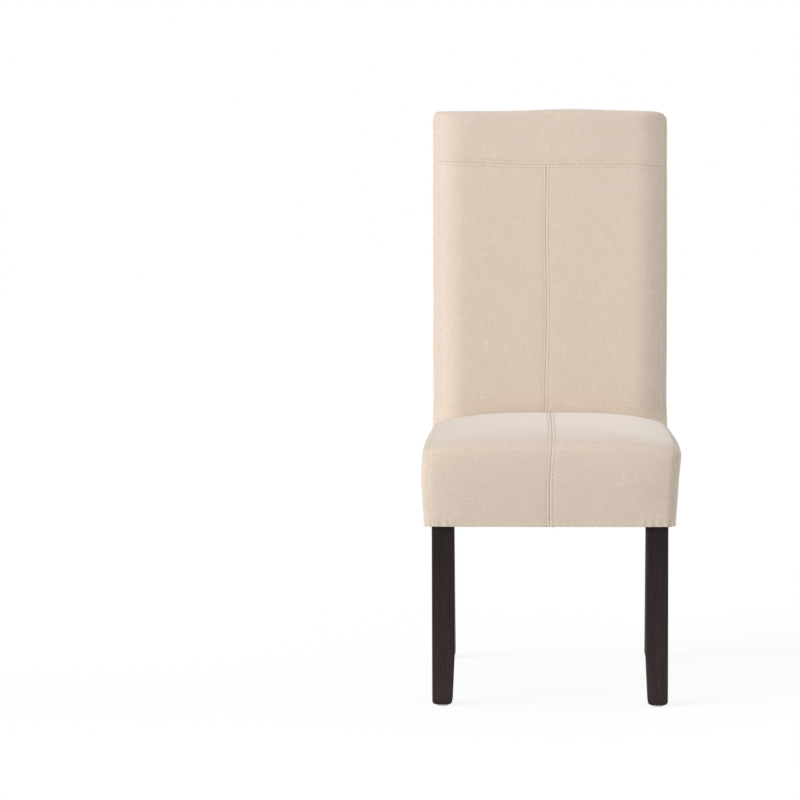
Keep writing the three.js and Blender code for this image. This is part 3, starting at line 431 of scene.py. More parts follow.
# %% Sizes that the CAD uses, in mm, with depth measured from the front of the seat
FRONT = cad_low.y / MM  # depth of the seat's front in the frame
HEM = 309.0
SEAT_WIDTH, SEAT_REAR_WIDTH, SEAT_DEPTH = 439.0, 433.0, 415.0
SEAT_EDGE, SEAT_CROWN, SEAT_SHOULDER, SEAT_ROLL = 449.0, 19.5, 5.0, 18.0
FOAM_BOTTOM, DRAW_IN, SEAT_WING = 388.3, 6.0, 8.0
BACK_WIDTH, BACK_TOP_WIDTH = 422.0, 433.0
BACK_THICK, BACK_TOP_THICK, BACK_ROLL = 78.0, 62.0, 14.0
BACK_TOP, LEAN, LEAN_START = 1010.0, 134.0, 400.0
BACK_FULLNESS, BACK_FALL, CROSS_SEAM = 9.5, 44.0, 913.0
BACK_SIDE = 60.0  # width of the front's roll at each side
SIDE_SEAM = 9.0  # from a side seam to the side wall
TUCKED = 394.5  # height of the lower edge of the back's front panels, behind the seat
# Worn-in upholstery is softer than the solid: fuller sides, and a front that falls away at its ends.
SIDE_FULLNESS, FRONT_FALL, FRONT_DROP, FRONT_GIVE = 3.4, 12.0, 5.0, 6.0


def bell(distance, width):
    """1 at no distance, falling away softly on both sides."""
    return np.exp(-((distance / width) ** 2))


def eased(value, start, end):
    """From 0 at start to 1 at end, with soft ends."""
    share = np.clip((value - start) / (end - start), 0, 1)
    return share**2 * (3 - 2 * share)


def back_face(z):
    """Depth of the back's front face at height z."""
    share = np.clip((z - LEAN_START) / (BACK_TOP - LEAN_START), 0, 1.05)
    return SEAT_DEPTH + LEAN * share**1.4


def back_share(z):
    return (z - HEM) / (BACK_TOP - HEM)


def back_half(z):
    """Half the back's width, a little more where it meets the seat."""
    straight = (BACK_WIDTH + (BACK_TOP_WIDTH - BACK_WIDTH) * back_share(z)) / 2
    return straight + 1.6 * bell(z - 450, 30)


def back_bulge(across, z):
    """How far the back's front stands out: flat in the middle, with a large roll at each side.

    The roll fades out behind the seat. The front also goes in a little just above the seat, and
    falls away to the right near the top."""
    from_side = BACK_WIDTH / 2 * (1 - np.abs(across))
    into = np.clip(1 - from_side / BACK_SIDE, 0, 0.9)
    roll = BACK_FALL * (1 - np.sqrt(1 - into**2)) * eased(z, 425, 470)
    above_seat = 3.2 * bell(z - 463, 22)
    slack = 5.0 * eased(across, 0.3, 0.85) * bell(z - 975, 60)
    return BACK_FULLNESS - roll - above_seat - slack


def top_rise(x):
    """How far the top stands above its ends. The crest is a little right of the middle."""
    return 2.0 + 3.6 * bell(x - 40, 75) - 1.6 * np.clip(x / 200, 0, 1) ** 2


def back_map(points):
    """Straight back to real back: x across, b from the front face to the rear face, z up."""
    x, b, z = points.T
    bow = np.interp(x, [-205, -138, -40, 160, 205], [7.5, 4.0, 0.0, 0.0, -5.0])
    level = top_rise(x) * back_share(CROSS_SEAM) ** 2
    z = z + (bow - level) * bell(z - CROSS_SEAM, 48) * (b < BACK_THICK / 2)
    sewn_off = -6.2 - 2.6 * np.clip((600 - z) / 200, 0, 1) + 0.9 * np.sin(z / 46)
    x = x + sewn_off * bell(x, 70) * np.clip(1 - b / 20, 0, 1) * (z < CROSS_SEAM + 8)
    across = 2 * x / BACK_WIDTH
    front = np.clip(1 - b / (BACK_THICK / 2), 0, 1)
    up = np.clip(back_share(z), 0, 1)
    bulge = back_bulge(across, z)
    slim = (BACK_THICK - BACK_TOP_THICK) * back_share(z)
    margin = BACK_THICK * 0.2
    deep = np.clip((b - margin) / (BACK_THICK - 2 * margin), 0, 1)
    depth = b - slim * deep - bulge * front
    rise = top_rise(x) * up**2
    corner = bell(np.hypot(x - BACK_WIDTH / 2, z - BACK_TOP), 17)
    real_x = across * back_half(z) - 1.2 * corner
    return np.stack([real_x, back_face(z) + depth, z + rise - 3.6 * corner], axis=1)


def back_front_at(x, z):
    """Depth of the back's front surface, with its rounded sides, at x and height z."""
    half = back_half(z)
    over = np.clip(np.abs(x) - (half - BACK_ROLL), 0, BACK_ROLL)
    roll = BACK_ROLL - np.sqrt(BACK_ROLL**2 - over**2)
    return back_face(z) - back_bulge(x / half, z) * (1 - roll / (BACK_THICK / 2)) + roll


def seat_map(points):
    """Straight seat to real seat: x across, y from the front, z up."""
    x, y, z = points.T
    rear = SEAT_DEPTH + SEAT_WING
    wing = rear - (rear - y) * SEAT_WING / SEAT_ROLL
    y = np.where(y < rear - SEAT_ROLL, y * SEAT_DEPTH / (rear - SEAT_ROLL), wing)
    across = 2 * x / SEAT_WIDTH
    along = np.clip(y / SEAT_DEPTH, 0, 1)
    up = np.clip((z - HEM) / (SEAT_EDGE - SEAT_ROLL - HEM), 0, 1)
    draw_in = DRAW_IN * (1 - up) ** 1.5
    half = (SEAT_WIDTH + (SEAT_REAR_WIDTH - SEAT_WIDTH) * along) / 2 - draw_in
    half = half + SIDE_FULLNESS * np.sin(math.pi * along) * up
    risen = np.sin(np.clip(along / 0.45, 0, 1) * math.pi / 2)
    height = np.clip((z - FOAM_BOTTOM) / (SEAT_EDGE - FOAM_BOTTOM), 0, 1)
    crown = SEAT_CROWN * (0.5 + 0.5 * risen) * np.maximum(0, 1 - np.abs(across) ** 3.2)
    shoulder = SEAT_SHOULDER * np.abs(across) ** 6 * height**3
    middle = 1 - 0.5 * np.clip(np.abs(across), 0, 1) ** 4
    shoulder = shoulder + FRONT_DROP * middle * bell(y, 34) * height**2
    fall = FRONT_FALL * np.abs(across) ** 6 * (1 - along) ** 2 * (0.35 + 0.65 * up)
    give = FRONT_GIVE * middle * bell(SEAT_EDGE - z, 30) * bell(y, 60)
    real_y = y + draw_in * (1 - along) + fall + give
    skew = 4.3 * height * (1 - 0.8 * along)
    real_x, real_z = across * half + skew, z + crown * height - shoulder
    clear = 1.2 - 1.5 * np.clip((np.abs(real_x) - 201) / 7, 0, 1)
    limit = np.minimum(back_front_at(real_x, real_z) - clear, rear)
    near_back = np.clip((y - 360) / (rear - 360), 0, 1) ** 2
    return np.stack([real_x, real_y - (rear - limit) * near_back, real_z], axis=1)


# %% Gridded blocks
SEAT_STEP, BACK_STEP = 5.6, 6.0  # mm between grid lines


def rounding_lines(radius, seam):
    """Distances outside the rounding's start of the grid lines on one face, one at the seam."""
    if seam is None:
        angles = np.radians([0, 11.25, 22.5, 33.75, 45])
    else:
        at = math.degrees(math.asin((radius - seam) / radius))
        angles = np.radians([0, at / 3, at * 2 / 3, at, (at + 45) / 2, 45])
    return radius * np.tan(angles)


def grid_lines(low, high, radius, step, marks=(), seam=None):
    """Places of the grid lines from low to high: close at the rounded ends, step apart between."""
    ends = rounding_lines(radius, seam)
    stops = sorted([low + radius, high - radius, *marks])
    lines = [low + radius - a for a in ends[:0:-1]]
    for start, end in zip(stops, stops[1:]):
        count = max(1, math.ceil((end - start) / step - 0.01))
        lines += list(np.linspace(start, end, count, endpoint=False))
    lines.append(stops[-1])
    return np.array(lines + [high - radius + a for a in ends[1:]])


def gridded_block(name, lines):
    """A mesh of a box whose six faces are parted by the grid lines, in straight millimetres."""
    bm = bmesh.new()
    bmesh.ops.create_cube(bm, size=1)
    for axis in range(3):
        along = [e for e in bm.edges if abs(e.verts[0].co[axis] - e.verts[1].co[axis]) > 0.5]
        bmesh.ops.subdivide_edges(bm, edges=along, cuts=len(lines[axis]) - 2, use_grid_fill=True)
    mesh = mesh_of(bm, name)
    shares = points_of(mesh) + 0.5
    straight = np.zeros_like(shares)
    for axis in range(3):
        index = np.rint(shares[:, axis] * (len(lines[axis]) - 1)).astype(int)
        straight[:, axis] = lines[axis][index]
    put_points(mesh, straight)
    return mesh, straight


def rounded(straight, lines, radius):
    """The box's points with its edges rounded."""
    low = np.array([line[0] for line in lines]) + radius
    high = np.array([line[-1] for line in lines]) - radius
    core = np.clip(straight, low, high)
    out = straight - core
    length = np.linalg.norm(out, axis=1, keepdims=True)
    return core + np.where(length > 0, out / np.maximum(length, 1e-9) * radius, 0)


def in_frame(points):
    """Millimetres from the seat's front to metres in the chair's frame."""
    return (points + np.array([0, FRONT, 0])) * MM


# %% [markdown]
# ## The padding swells under its cover
#
# Foam pushes the cover out, and the seams hold it back. Each form starts 3 mm too small, and a
# short cloth simulation with air pressure inside pushes it out. How far a point may move is capped,
# less near a seam than in the middle of a panel, so the swollen form has the real size with a
# shallow valley along each seam. A free balloon would also pull its edges in. The foam doesn't let
# the cloth do that, so a point that the cloth would pull in only lags a little behind its cap.

# %% Swelling by simulation
START_INSET = 3.0  # mm
LAG = 1.2  # mm, the most that a point stays behind its cap
EAGER = 8.0  # mm that the free cloth moves where it fills its cap
CALM = 12  # rounds of averaging with the neighbours
LAST_FRAME = 20


def calmed(mesh, values):
    """Values of the points, averaged with their neighbours so that small crumples go."""
    ends = np.zeros(len(mesh.edges) * 2, int)
    mesh.edges.foreach_get("vertices", ends)
    a, b = ends.reshape(-1, 2).T
    count = np.bincount(ends, minlength=len(values))
    for _ in range(CALM):
        beside_them = np.bincount(a, values[b], len(values)) + np.bincount(b, values[a], len(values))
        values = (values + beside_them / count) / 2
    return values


def swell(mesh, start, normals, cap, pinned):
    """Runs the cloth and returns the points, each moved out by no more than its cap in mm."""
    put_points(mesh, in_frame(start))
    body = bpy.data.objects.new("swelling", mesh)
    scene.collection.objects.link(body)
    group = body.vertex_groups.new(name="pinned")
    group.add([int(i) for i in np.nonzero(pinned)[0]], 1.0, "REPLACE")
    cloth = body.modifiers.new("cloth", "CLOTH")
    cloth.settings.use_pressure = True
    cloth.settings.uniform_pressure_force = 4
    cloth.settings.effector_weights.gravity = 0
    cloth.settings.vertex_group_mass = "pinned"
    cloth.settings.quality = 4
    cloth.collision_settings.use_collision = False
    cloth.point_cache.frame_start, cloth.point_cache.frame_end = 1, LAST_FRAME
    for frame_number in range(1, LAST_FRAME + 1):
        scene.frame_set(frame_number)
    evaluated = body.evaluated_get(bpy.context.evaluated_depsgraph_get())
    moved = (points_of(evaluated.data) - points_of(mesh)) / MM
    scene.frame_set(1)
    bpy.data.objects.remove(body)
    out = (moved * normals).sum(axis=1)
    print("the free cloth moves out by mm:", np.round(np.percentile(out, [5, 50, 95]), 1))
    filled = calmed(mesh, 0.5 + 0.5 * np.tanh(out / EAGER))
    return start + normals * (cap - LAG * (1 - filled))[:, None]


def form(name, lines, radius, shape_map, seam_distance, pinned_at):
    """A swollen form in metres, with each point's straight place kept as an attribute."""
    mesh, straight = gridded_block(name, lines)
    real = shape_map(rounded(straight, lines, radius))
    put_points(mesh, real)
    normals = points_of(mesh, "normal")
    start = real - normals * START_INSET
    cap = START_INSET - 0.5 * bell(seam_distance(straight), 9)
    held = pinned_at(straight)
    end = swell(mesh, start, normals, cap, held)
    end[held] = real[held]
    put_points(mesh, in_frame(end))
    layer = mesh.attributes.new("straight", "FLOAT_VECTOR", "POINT")
    layer.data.foreach_set("vector", straight.astype(np.float32).ravel())
    body = bpy.data.objects.new(name, mesh)
    scene.collection.objects.link(body)
    finer = body.modifiers.new("finer", "SUBSURF")
    finer.levels = finer.render_levels = 1
    evaluated = body.evaluated_get(bpy.context.evaluated_depsgraph_get())
    fine = bpy.data.meshes.new_from_object(evaluated)
    bpy.data.objects.remove(body)
    return fine


# %% The seat's form
def seam_place(half, radius):
    """Straight place of a side seam on a rounded edge."""
    return half - radius + radius * math.tan(math.asin((radius - SIDE_SEAM) / radius))


SEAT_SEAM = seam_place(SEAT_WIDTH / 2, SEAT_ROLL)
BACK_SEAM = seam_place(BACK_WIDTH / 2, BACK_ROLL)
REAR_SEAM = seam_place(BACK_THICK, BACK_ROLL)
LEG_X = (161.0, 201.0)  # room round a front leg
seat_lines = [
    grid_lines(
        -SEAT_WIDTH / 2,
        SEAT_WIDTH / 2,
        SEAT_ROLL,
        SEAT_STEP,
        marks=(-LEG_X[1], -LEG_X[0], -2.5, 0, 2.5, LEG_X[0], LEG_X[1]),
        seam=SIDE_SEAM,
    ),
    grid_lines(0, SEAT_DEPTH + SEAT_WING, SEAT_ROLL, SEAT_STEP, marks=(55,)),
    grid_lines(HEM - SEAT_ROLL, SEAT_EDGE, SEAT_ROLL, SEAT_STEP, marks=(312,)),
]
back_lines = [
    grid_lines(-BACK_WIDTH / 2, BACK_WIDTH / 2, BACK_ROLL, BACK_STEP, marks=(-3, 0, 3), seam=SIDE_SEAM),
    grid_lines(0, BACK_THICK, BACK_ROLL, BACK_STEP, seam=SIDE_SEAM),
    grid_lines(
        HEM - BACK_ROLL,
        BACK_TOP,
        BACK_ROLL,
        BACK_STEP,
        marks=(TUCKED, CROSS_SEAM - 3, CROSS_SEAM, CROSS_SEAM + 3),
    ),
]


def unroll(value, line, radius):
    """Path length in mm along a face and round its rolled ends, from straight coordinates."""
    start, end = line[0] + radius, line[-1] - radius
    over = np.clip(value - end, 0, None)
    under = np.clip(start - value, 0, None)
    bent = np.arctan(over / radius) - np.arctan(under / radius)
    return np.clip(value, start, end) + radius * bent


def beside(p, lines, radius, seam):
    """Distance from the side seams: below zero on the front, above zero on the side panels."""
    x, y, z = p.T
    x = np.abs(x)
    across = unroll(x, lines[0], radius) - unroll(np.full_like(x, seam), lines[0], radius)
    down = unroll(lines[2][-1], lines[2], radius) - unroll(z, lines[2], radius)
    inward = unroll(y, lines[1], radius) - unroll(lines[1][0], lines[1], radius)
    outward_end = unroll(lines[1][-1], lines[1], radius) - unroll(y, lines[1], radius)
    nearest = np.minimum(np.minimum(down, inward), outward_end)
    return across + np.where(x > lines[0][-1] - 0.01, nearest, 0)


def seat_seam_distance(p):
    return np.minimum(np.abs(p[:, 0]), np.abs(beside(p, seat_lines, SEAT_ROLL, SEAT_SEAM)))


def seat_pinned(p):
    return (p[:, 2] < HEM + 4) | (p[:, 1] > SEAT_DEPTH + SEAT_WING - 12)


def back_seam_distance(p):
    x, b, z = p.T
    front = b < BACK_THICK / 2
    cross = np.where(front, np.abs(z - CROSS_SEAM), 100)
    middle = np.where(front & (z < CROSS_SEAM), np.abs(x), 100)
    side = np.abs(beside(p, back_lines, BACK_ROLL, BACK_SEAM))
    return np.minimum(np.minimum(cross, middle), side)


def back_pinned(p):
    return p[:, 2] < HEM + 4


seat_form = form("seat_form", seat_lines, SEAT_ROLL, seat_map, seat_seam_distance, seat_pinned)
back_form = form("back_form", back_lines, BACK_ROLL, back_map, back_seam_distance, back_pinned)
print("faces of the forms:", len(seat_form.polygons), len(back_form.polygons))

# %% [markdown]
# ## Seams and their stitches
#
# Two panels are sewn face to face and opened out, so each one's edge turns down into the seam. A
# row of topstitching on each side pulls the cloth onto the seam allowance: a dip at every stitch,
# a low ridge between it and the seam, and small puckers beyond. All of that is a height above the
# form, worked out from the distance to the seam and the place along it.

# %% Relief of the seams
STITCH = 6.0  # mm from stitch to stitch
SEAT_ROWS, BACK_ROWS = (-5.6, 5.4), (-4.7, 4.9)  # mm from the middle seam, left and right
CROSS_ROWS = (-5.4, 6.2)  # below and above the cross seam
ROW_END = 430.0  # height where the back's rows end, behind the seat


def seam_relief(off, along, stitch_rows, depth):
    """Height in mm at a distance off a seam, with rows of stitches at the given distances."""
    valley = -depth * bell(off, 1.1)
    allowance = 0.2 * bell(np.abs(off) - 2.6, 1.5)
    height = valley + allowance
    for row, pull in stitch_rows:
        beat = 0.5 + 0.5 * np.cos(2 * math.pi * along / STITCH)
        height = height - pull * bell(off - row, 1.1) * (0.12 + 0.88 * beat)
        pucker = -np.cos(2 * math.pi * along / STITCH + 0.6 * np.sin(along / 17))
        beyond = (off - row) * np.sign(row)
        height = height + 0.32 * pull * pucker * bell(beyond, 3.2)
    return height


def waves(p, size, seed):
    """Smooth noise from -1 to 1 with bumps of about size mm."""
    shift = Vector((seed * 7.1, seed * 3.3, seed * 5.7))
    return np.array([noise.noise(Vector(row) / size + shift) for row in p])


def seat_relief(p):
    x, y, z = p.T
    on_top = unroll(y, seat_lines[1], SEAT_ROLL)
    down = unroll(z, seat_lines[2], SEAT_ROLL)
    along = on_top - down
    off = beside(p, seat_lines, SEAT_ROLL, SEAT_SEAM)
    front = y < 0.01
    height = 0.55 * waves(p, 85, 1) + 0.28 * waves(p, 34, 2)
    main = seam_relief(x, along, [(row, 0.45) for row in SEAT_ROWS], 0.36)
    height += np.where(np.abs(x) < SEAT_SEAM + 0.01, main, 0)
    path = np.where(np.abs(x) > SEAT_WIDTH / 2 - 0.01, y - z, along)
    height += seam_relief(off, path, [(-4.2, 0.5), (4.2, 0.4)], 0.3)
    slack = bell(np.abs(off) - 16, 9) * np.cos(2 * math.pi * path / 19 + 2 * waves(p, 60, 3))
    height += 0.16 * slack
    lean = (x - 12) - 0.9 * (449 - z + y)
    fold = bell(lean % 13 - 6.5, 2.6) * bell(x - 20, 17) * bell(on_top + 431 - z - 10, 22)
    height += 0.5 * fold
    over_leg = np.clip((np.abs(x) - 150) / 14, 0, 1) * np.where(front, 1, 0)
    height += over_leg * bell(z - 321, 9) * 0.9
    height += over_leg * bell(z - 312, 11) * 0.5 * np.sin(x / 2.1 + 2.5 * waves(p, 26, 4))
    height += 0.22 * bell(z - 309, 7) * np.sin(np.where(front, x, y) / 3.3 + 3 * waves(p, 40, 5))
    return height


def back_relief(p):
    x, b, z = p.T
    front = b < BACK_THICK / 2
    off = beside(p, back_lines, BACK_ROLL, BACK_SEAM)
    height = 0.6 * waves(p, 110, 6) + 0.25 * waves(p, 42, 7)
    middle = seam_relief(x, z, list(zip(BACK_ROWS, (0.4, 0.5))), 0.3)
    height += np.where(front & (z < CROSS_SEAM), middle, 0)
    cross = seam_relief(z - CROSS_SEAM, x, list(zip(CROSS_ROWS, (0.55, 0.3))), 0.28)
    height += np.where(front & (np.abs(x) < BACK_SEAM + 0.01), cross, 0)
    path = np.where(z > BACK_TOP - 0.01, b, z)
    height += seam_relief(off, path, [(-4.2, 0.32), (4.0, 0.25)], 0.25)
    top = np.where(z > BACK_TOP - 0.01, unroll(b, back_lines[1], BACK_ROLL), -60)
    rear = top - unroll(REAR_SEAM, back_lines[1], BACK_ROLL)
    rear = np.where(~front & (top < 0), 15 + BACK_TOP - z, rear)
    height += seam_relief(rear, x, [(-4.4, 0.42)], 0.5)
    tuck = bell(x - (BACK_WIDTH / 2 - 12) + 0.5 * (z - BACK_TOP + 14), 2.0)
    height -= 0.5 * tuck * bell(z - (BACK_TOP - 8), 11) * front
    height += 0.3 * bell(z - HEM, 8) * np.sin(np.where(np.abs(off) < 60, x, b) / 3.6)
    return height


# %% [markdown]
# ## Panels
#
# Each panel is cut from its form along the seams. The faces close to a seam are divided once more,
# so that they can hold the stitches. After the relief is added, the panel's edge at a seam is
# extruded in three small steps that turn it down, and its hem is extruded under the frame. A
# Solidify modifier gives the cloth its thickness inwards.

# %% Cutting a panel
CLOTH = 1.1  # mm
FINE = 1.3  # mm, edges up to this length are fine enough for the stitches
laid = {}  # how straight places lie on each panel, for the stitches


def cut_panel(name, source, inside, distance, relief, reach):
    """A bmesh of the part of a form where inside is true, with its seam relief.

    Edges closer than reach to a seam are cut in three, if they are longer than FINE."""
    straight = np.zeros(len(source.vertices) * 3, np.float32)
    source.attributes["straight"].data.foreach_get("vector", straight)
    straight = straight.reshape(-1, 3)
    corners = np.zeros(len(source.loops), int)
    source.loops.foreach_get("vertex_index", corners)
    keep = inside(straight[corners.reshape(-1, 4)].mean(axis=1))
    bm = bmesh.new()
    bm.from_mesh(source)
    gone = [face for face, kept in zip(bm.faces, keep) if not kept]
    bmesh.ops.delete(bm, geom=gone, context="FACES")
    layer = bm.verts.layers.float_vector["straight"]
    bm.verts.index_update()
    close = distance(np.array([v[layer] for v in bm.verts])) < reach
    near = []
    for edge in bm.edges:
        a, b = edge.verts
        if close[a.index] and close[b.index] and (a[layer] - b[layer]).length > FINE:
            near.append(edge)
    bmesh.ops.subdivide_edges(bm, edges=near, cuts=2, use_grid_fill=True)
    bm.normal_update()
    heights = relief(np.array([v[layer] for v in bm.verts]))
    shifts = [v.normal * (h * MM) for v, h in zip(bm.verts, heights)]
    for v, shift in zip(bm.verts, shifts):
        v.co += shift
    flat = [v[layer].copy() for v in bm.verts]
    triangles = [
        (face.verts[0].index, face.verts[i].index, face.verts[i + 1].index)
        for face in bm.faces
        for i in range(1, len(face.verts) - 1)
    ]
    real = [v.co.copy() for v in bm.verts]
    laid[name] = (BVHTree.FromPolygons(flat, triangles), triangles, flat, real)
    return bm


def edges_between(made, verts):
    """The edges in a list of geometry whose two ends are both in verts."""
    return [e for e in edges_in(made) if e.verts[0] in verts and e.verts[1] in verts]


def turn_edges(bm, rim, steps):
    """Extrude a rim step by step; each step is (into the panel, out of the surface) in mm."""
    layers = bm.verts.layers.float_vector
    inward, outward_layer = layers.new("inward"), layers.new("outward")
    bm.normal_update()
    rim = list(rim)
    verts = {v for e in rim for v in e.verts}
    for v in verts:
        v[inward] = (0, 0, 0)
        v[outward_layer] = v.normal
    for e in rim:
        face = e.link_faces[0]
        along = (e.verts[1].co - e.verts[0].co).normalized()
        into = face.calc_center_median() - (e.verts[0].co + e.verts[1].co) / 2
        into -= along * into.dot(along)
        into -= face.normal * into.dot(face.normal)
        for v in e.verts:
            v[inward] = v[inward] + into.normalized()
    for v in verts:
        v[inward] = v[inward].normalized()
    for number, (into, out) in enumerate(steps):
        if number:
            made = bmesh.ops.extrude_edge_only(bm, edges=rim)["geom"]
            verts = {g for g in made if isinstance(g, bmesh.types.BMVert)}
            rim = edges_between(made, verts)
        for v in verts:
            v.co += (v[inward] * into + v[outward_layer] * out) * MM
    return rim


SEAM_TURN = ((0.2, 0), (-0.1, -0.12), (-0.06, -0.4), (0, -0.5))


def fold_hem(bm, depth_at):
    """Turns the lower edge under the frame, as far in as depth_at says for a place in mm."""
    layer = bm.verts.layers.float_vector["straight"]
    rim = [e for e in bm.edges if e.is_boundary and all(v[layer].z < HEM + 0.01 for v in e.verts)]
    bm.normal_update()
    normals = {v: v.normal.copy() for e in rim for v in e.verts}
    for v in normals:
        normals[v].z = 0
        normals[v].normalize()
        v.co.z = (HEM + 1.2) * MM
    for into, down in ((0.35, 0.85), (0.85, 0.35), (None, 0)):
        made = bmesh.ops.extrude_edge_only(bm, edges=rim)["geom"]
        fresh = {}
        for e in edges_in(made):
            old = [v for v in e.verts if v in normals]
            if len(old) == 1:
                fresh[e.other_vert(old[0])] = normals[old[0]]
        rim = edges_between(made, fresh)
        normals = fresh
        for v, normal in normals.items():
            reach = into if into else depth_at(v[layer])
            v.co -= normal * reach * MM + Vector((0, 0, down * MM))


def finish_panel(name, bm, cloth_place, seed, replaced):
    """Adds the panel with its cloth UV map and its thickness, in place of its solid."""
    layer = bm.verts.layers.float_vector["straight"]
    straight = np.array([v[layer] for v in bm.verts])
    place = cloth_place(straight) * MM + np.array([seed * 0.37, seed * 0.23])  # a part of its own
    uv = bm.loops.layers.uv.new("cloth")
    bm.verts.index_update()
    for face in bm.faces:
        for loop in face.loops:
            loop[uv].uv = place[loop.vert.index]
    mesh = mesh_of(bm, name)
    piece = add_piece(name, mesh, linen_look, [replaced])
    thicken(piece, CLOTH)


def seams_of(bm, hidden):
    """Boundary edges, apart from those that hidden says are never sewn."""
    layer = bm.verts.layers.float_vector["straight"]
    return [e for e in bm.edges if e.is_boundary and not all(hidden(v[layer]) for v in e.verts)]


def make_panel(name, parts, inside, hidden, fold, cloth_place, seed, replaced, reach=9.5):
    """Takes a panel through every step. parts: the form, its seam distance and its relief."""
    source, distance, relief = parts
    panel = cut_panel(name, source, inside, distance, relief, reach)
    turn_edges(panel, seams_of(panel, hidden), SEAM_TURN)
    if fold:
        fold_hem(panel, fold)
    finish_panel(name, panel, cloth_place, seed, replaced)


# %% Seat panels
def seat_cloth(p):
    x, y, z = p.T
    over = [unroll(p[:, i], seat_lines[i], SEAT_ROLL) for i in range(3)]
    top_end = unroll(seat_lines[2][-1], seat_lines[2], SEAT_ROLL)
    v = over[2] + over[1]
    v = np.where(y > seat_lines[1][-1] - 0.01, 2 * top_end - over[2] + over[1], v)
    return np.stack([over[0], v], axis=1)


def side_cloth(p, lines, radius):
    x, y, z = p.T
    over = [unroll(p[:, i], lines[i], radius) for i in range(3)]
    round_edge = unroll(lines[0][-1], lines[0], radius) - np.abs(over[0])
    on_top = z > lines[2][-1] - 0.01
    rear = np.where(y > (lines[1][0] + lines[1][-1]) / 2, 1, -1)
    u = over[1] + np.where(on_top, 0, rear * round_edge)
    return np.stack([u, over[2] + np.where(on_top, round_edge, 0)], axis=1)


def seat_kept(p):
    """Not the underside, nor the rear wall where it is hidden."""
    rear_wall = (p[:, 1] > SEAT_DEPTH + SEAT_WING - 0.01) & (p[:, 2] < 405)
    return (p[:, 2] > HEM) & ~rear_wall


def seat_hidden(p):
    return p.z < HEM + 0.01 or p.y > SEAT_DEPTH + SEAT_WING - 0.01


def seat_fold(p):
    return 8.0 if abs(p.x) > 152 and p.y < 62 else 20.0


SIDES = (("left", -1), ("right", 1))
seat_parts = (seat_form, seat_seam_distance, seat_relief)
for side, sign in SIDES:
    make_panel(
        f"seat_panel_{side}",
        seat_parts,
        lambda p: seat_kept(p) & (p[:, 0] * sign > 0) & (np.abs(p[:, 0]) < SEAT_SEAM),
        seat_hidden,
        seat_fold,
        seat_cloth,
        1 + sign,
        f"seat_cover_{side}",
    )
    make_panel(
        f"seat_boxing_{side}",
        seat_parts,
        lambda p: seat_kept(p) & (p[:, 0] * sign > SEAT_SEAM),
        seat_hidden,
        seat_fold,
        lambda p: side_cloth(p, seat_lines, SEAT_ROLL),
        4 + sign,
        f"seat_cover_side_{side}",
    )
print("seat panels made")

# %% Back panels
def back_cloth(p):
    x, b, z = p.T
    over = [unroll(p[:, i], back_lines[i], BACK_ROLL) for i in range(3)]
    rear = b > REAR_SEAM - 0.01
    v = over[2] + np.where(rear, 100 - over[1], over[1])
    return np.stack([over[0], v], axis=1)


def under_seat(p):
    return p.z < TUCKED + 0.1


def at_hem(p):
    return p.z < HEM + 0.01


def back_fold(p):
    return 5.0 if abs(p.x) > 165 else 20.0


BACK_PANELS = {  # name: which part of the form, the solid that it stands for, and its pad
    "back_band": (
        lambda p: (np.abs(p[:, 0]) < BACK_SEAM) & (p[:, 1] < REAR_SEAM) & (p[:, 2] > CROSS_SEAM),
        "back_cover_top_band",
        "back_foam_slab",
    ),
    "back_rear_panel": (
        lambda p: (np.abs(p[:, 0]) < BACK_SEAM) & (p[:, 1] > REAR_SEAM),
        "back_cover_rear",
        "back_rear_wadding",
    ),
}
for side, sign in SIDES:
    BACK_PANELS[f"back_front_panel_{side}"] = (
        lambda p, sign=sign: (p[:, 0] * sign > 0)
        & (np.abs(p[:, 0]) < BACK_SEAM)
        & (p[:, 1] < REAR_SEAM)
        & (p[:, 2] < CROSS_SEAM)
        & (p[:, 2] > TUCKED - 0.1),
        f"back_cover_front_{side}",
        "back_foam_slab",
    )
    BACK_PANELS[f"back_boxing_{side}"] = (
        lambda p, sign=sign: p[:, 0] * sign > BACK_SEAM,
        f"back_cover_side_{side}",
        f"back_side_padding_{side}",
    )
for seed, (name, (inside, replaced, pad)) in enumerate(BACK_PANELS.items()):
    boxing = "boxing" in name
    reaches_hem = boxing or "rear" in name
    make_panel(
        name,
        (back_form, back_seam_distance, back_relief),
        lambda p: inside(p) & (p[:, 2] > HEM),
        at_hem if reaches_hem else under_seat,
        back_fold if reaches_hem else None,
        (lambda p: side_cloth(p, back_lines, BACK_ROLL)) if boxing else back_cloth,
        7 + seed,
        replaced,
        7.0 if "rear" in name else 9.5,
    )
print("back panels made")

# %% [markdown]
# ## Topstitching
#
# Each stitch is a short bit of thread that dips into the cloth at both ends. It is a small sphere,
# drawn out along the row. The row is laid out on the straight panel, and each stitch is carried to
# the finished surface by the triangle that it falls in.

# %% Thread
# The thread is a little darker than the cloth: partly its own colour, partly painted shade of the dips at
# the stitch holes.
thread = patterned_material(
    "spun_polyester_thread",
    "TexNoise",
    {"Scale": 1 / (0.6 * MM), "Detail": 2.0},
    0,
    [(0.0, "#b5a28d"), (1.0, "#cfbfac")],
    (0.4, 0.1),
    {"Roughness": 0.6, "Sheen Weight": 0.1},
)


# %% Rows of stitches
HALF_SHOWN = 1.5  # mm, half of what shows of a stitch
STITCH_SIZE = (2.0, 0.36, 0.34)  # half its length, width and height in mm


def on_panel(name, straight):
    """The real place and normal of a straight place on a panel, or None off the panel."""
    tree, triangles, flat, real = laid[name]
    spot, _, index, distance = tree.find_nearest(Vector(straight))
    if distance is None or distance > 0.3:
        return None
    corners = triangles[index]
    place = barycentric_transform(spot, *[flat[i] for i in corners], *[real[i] for i in corners])
    a, b, c = [real[i] for i in corners]
    return place, (b - a).cross(c - a).normalized()


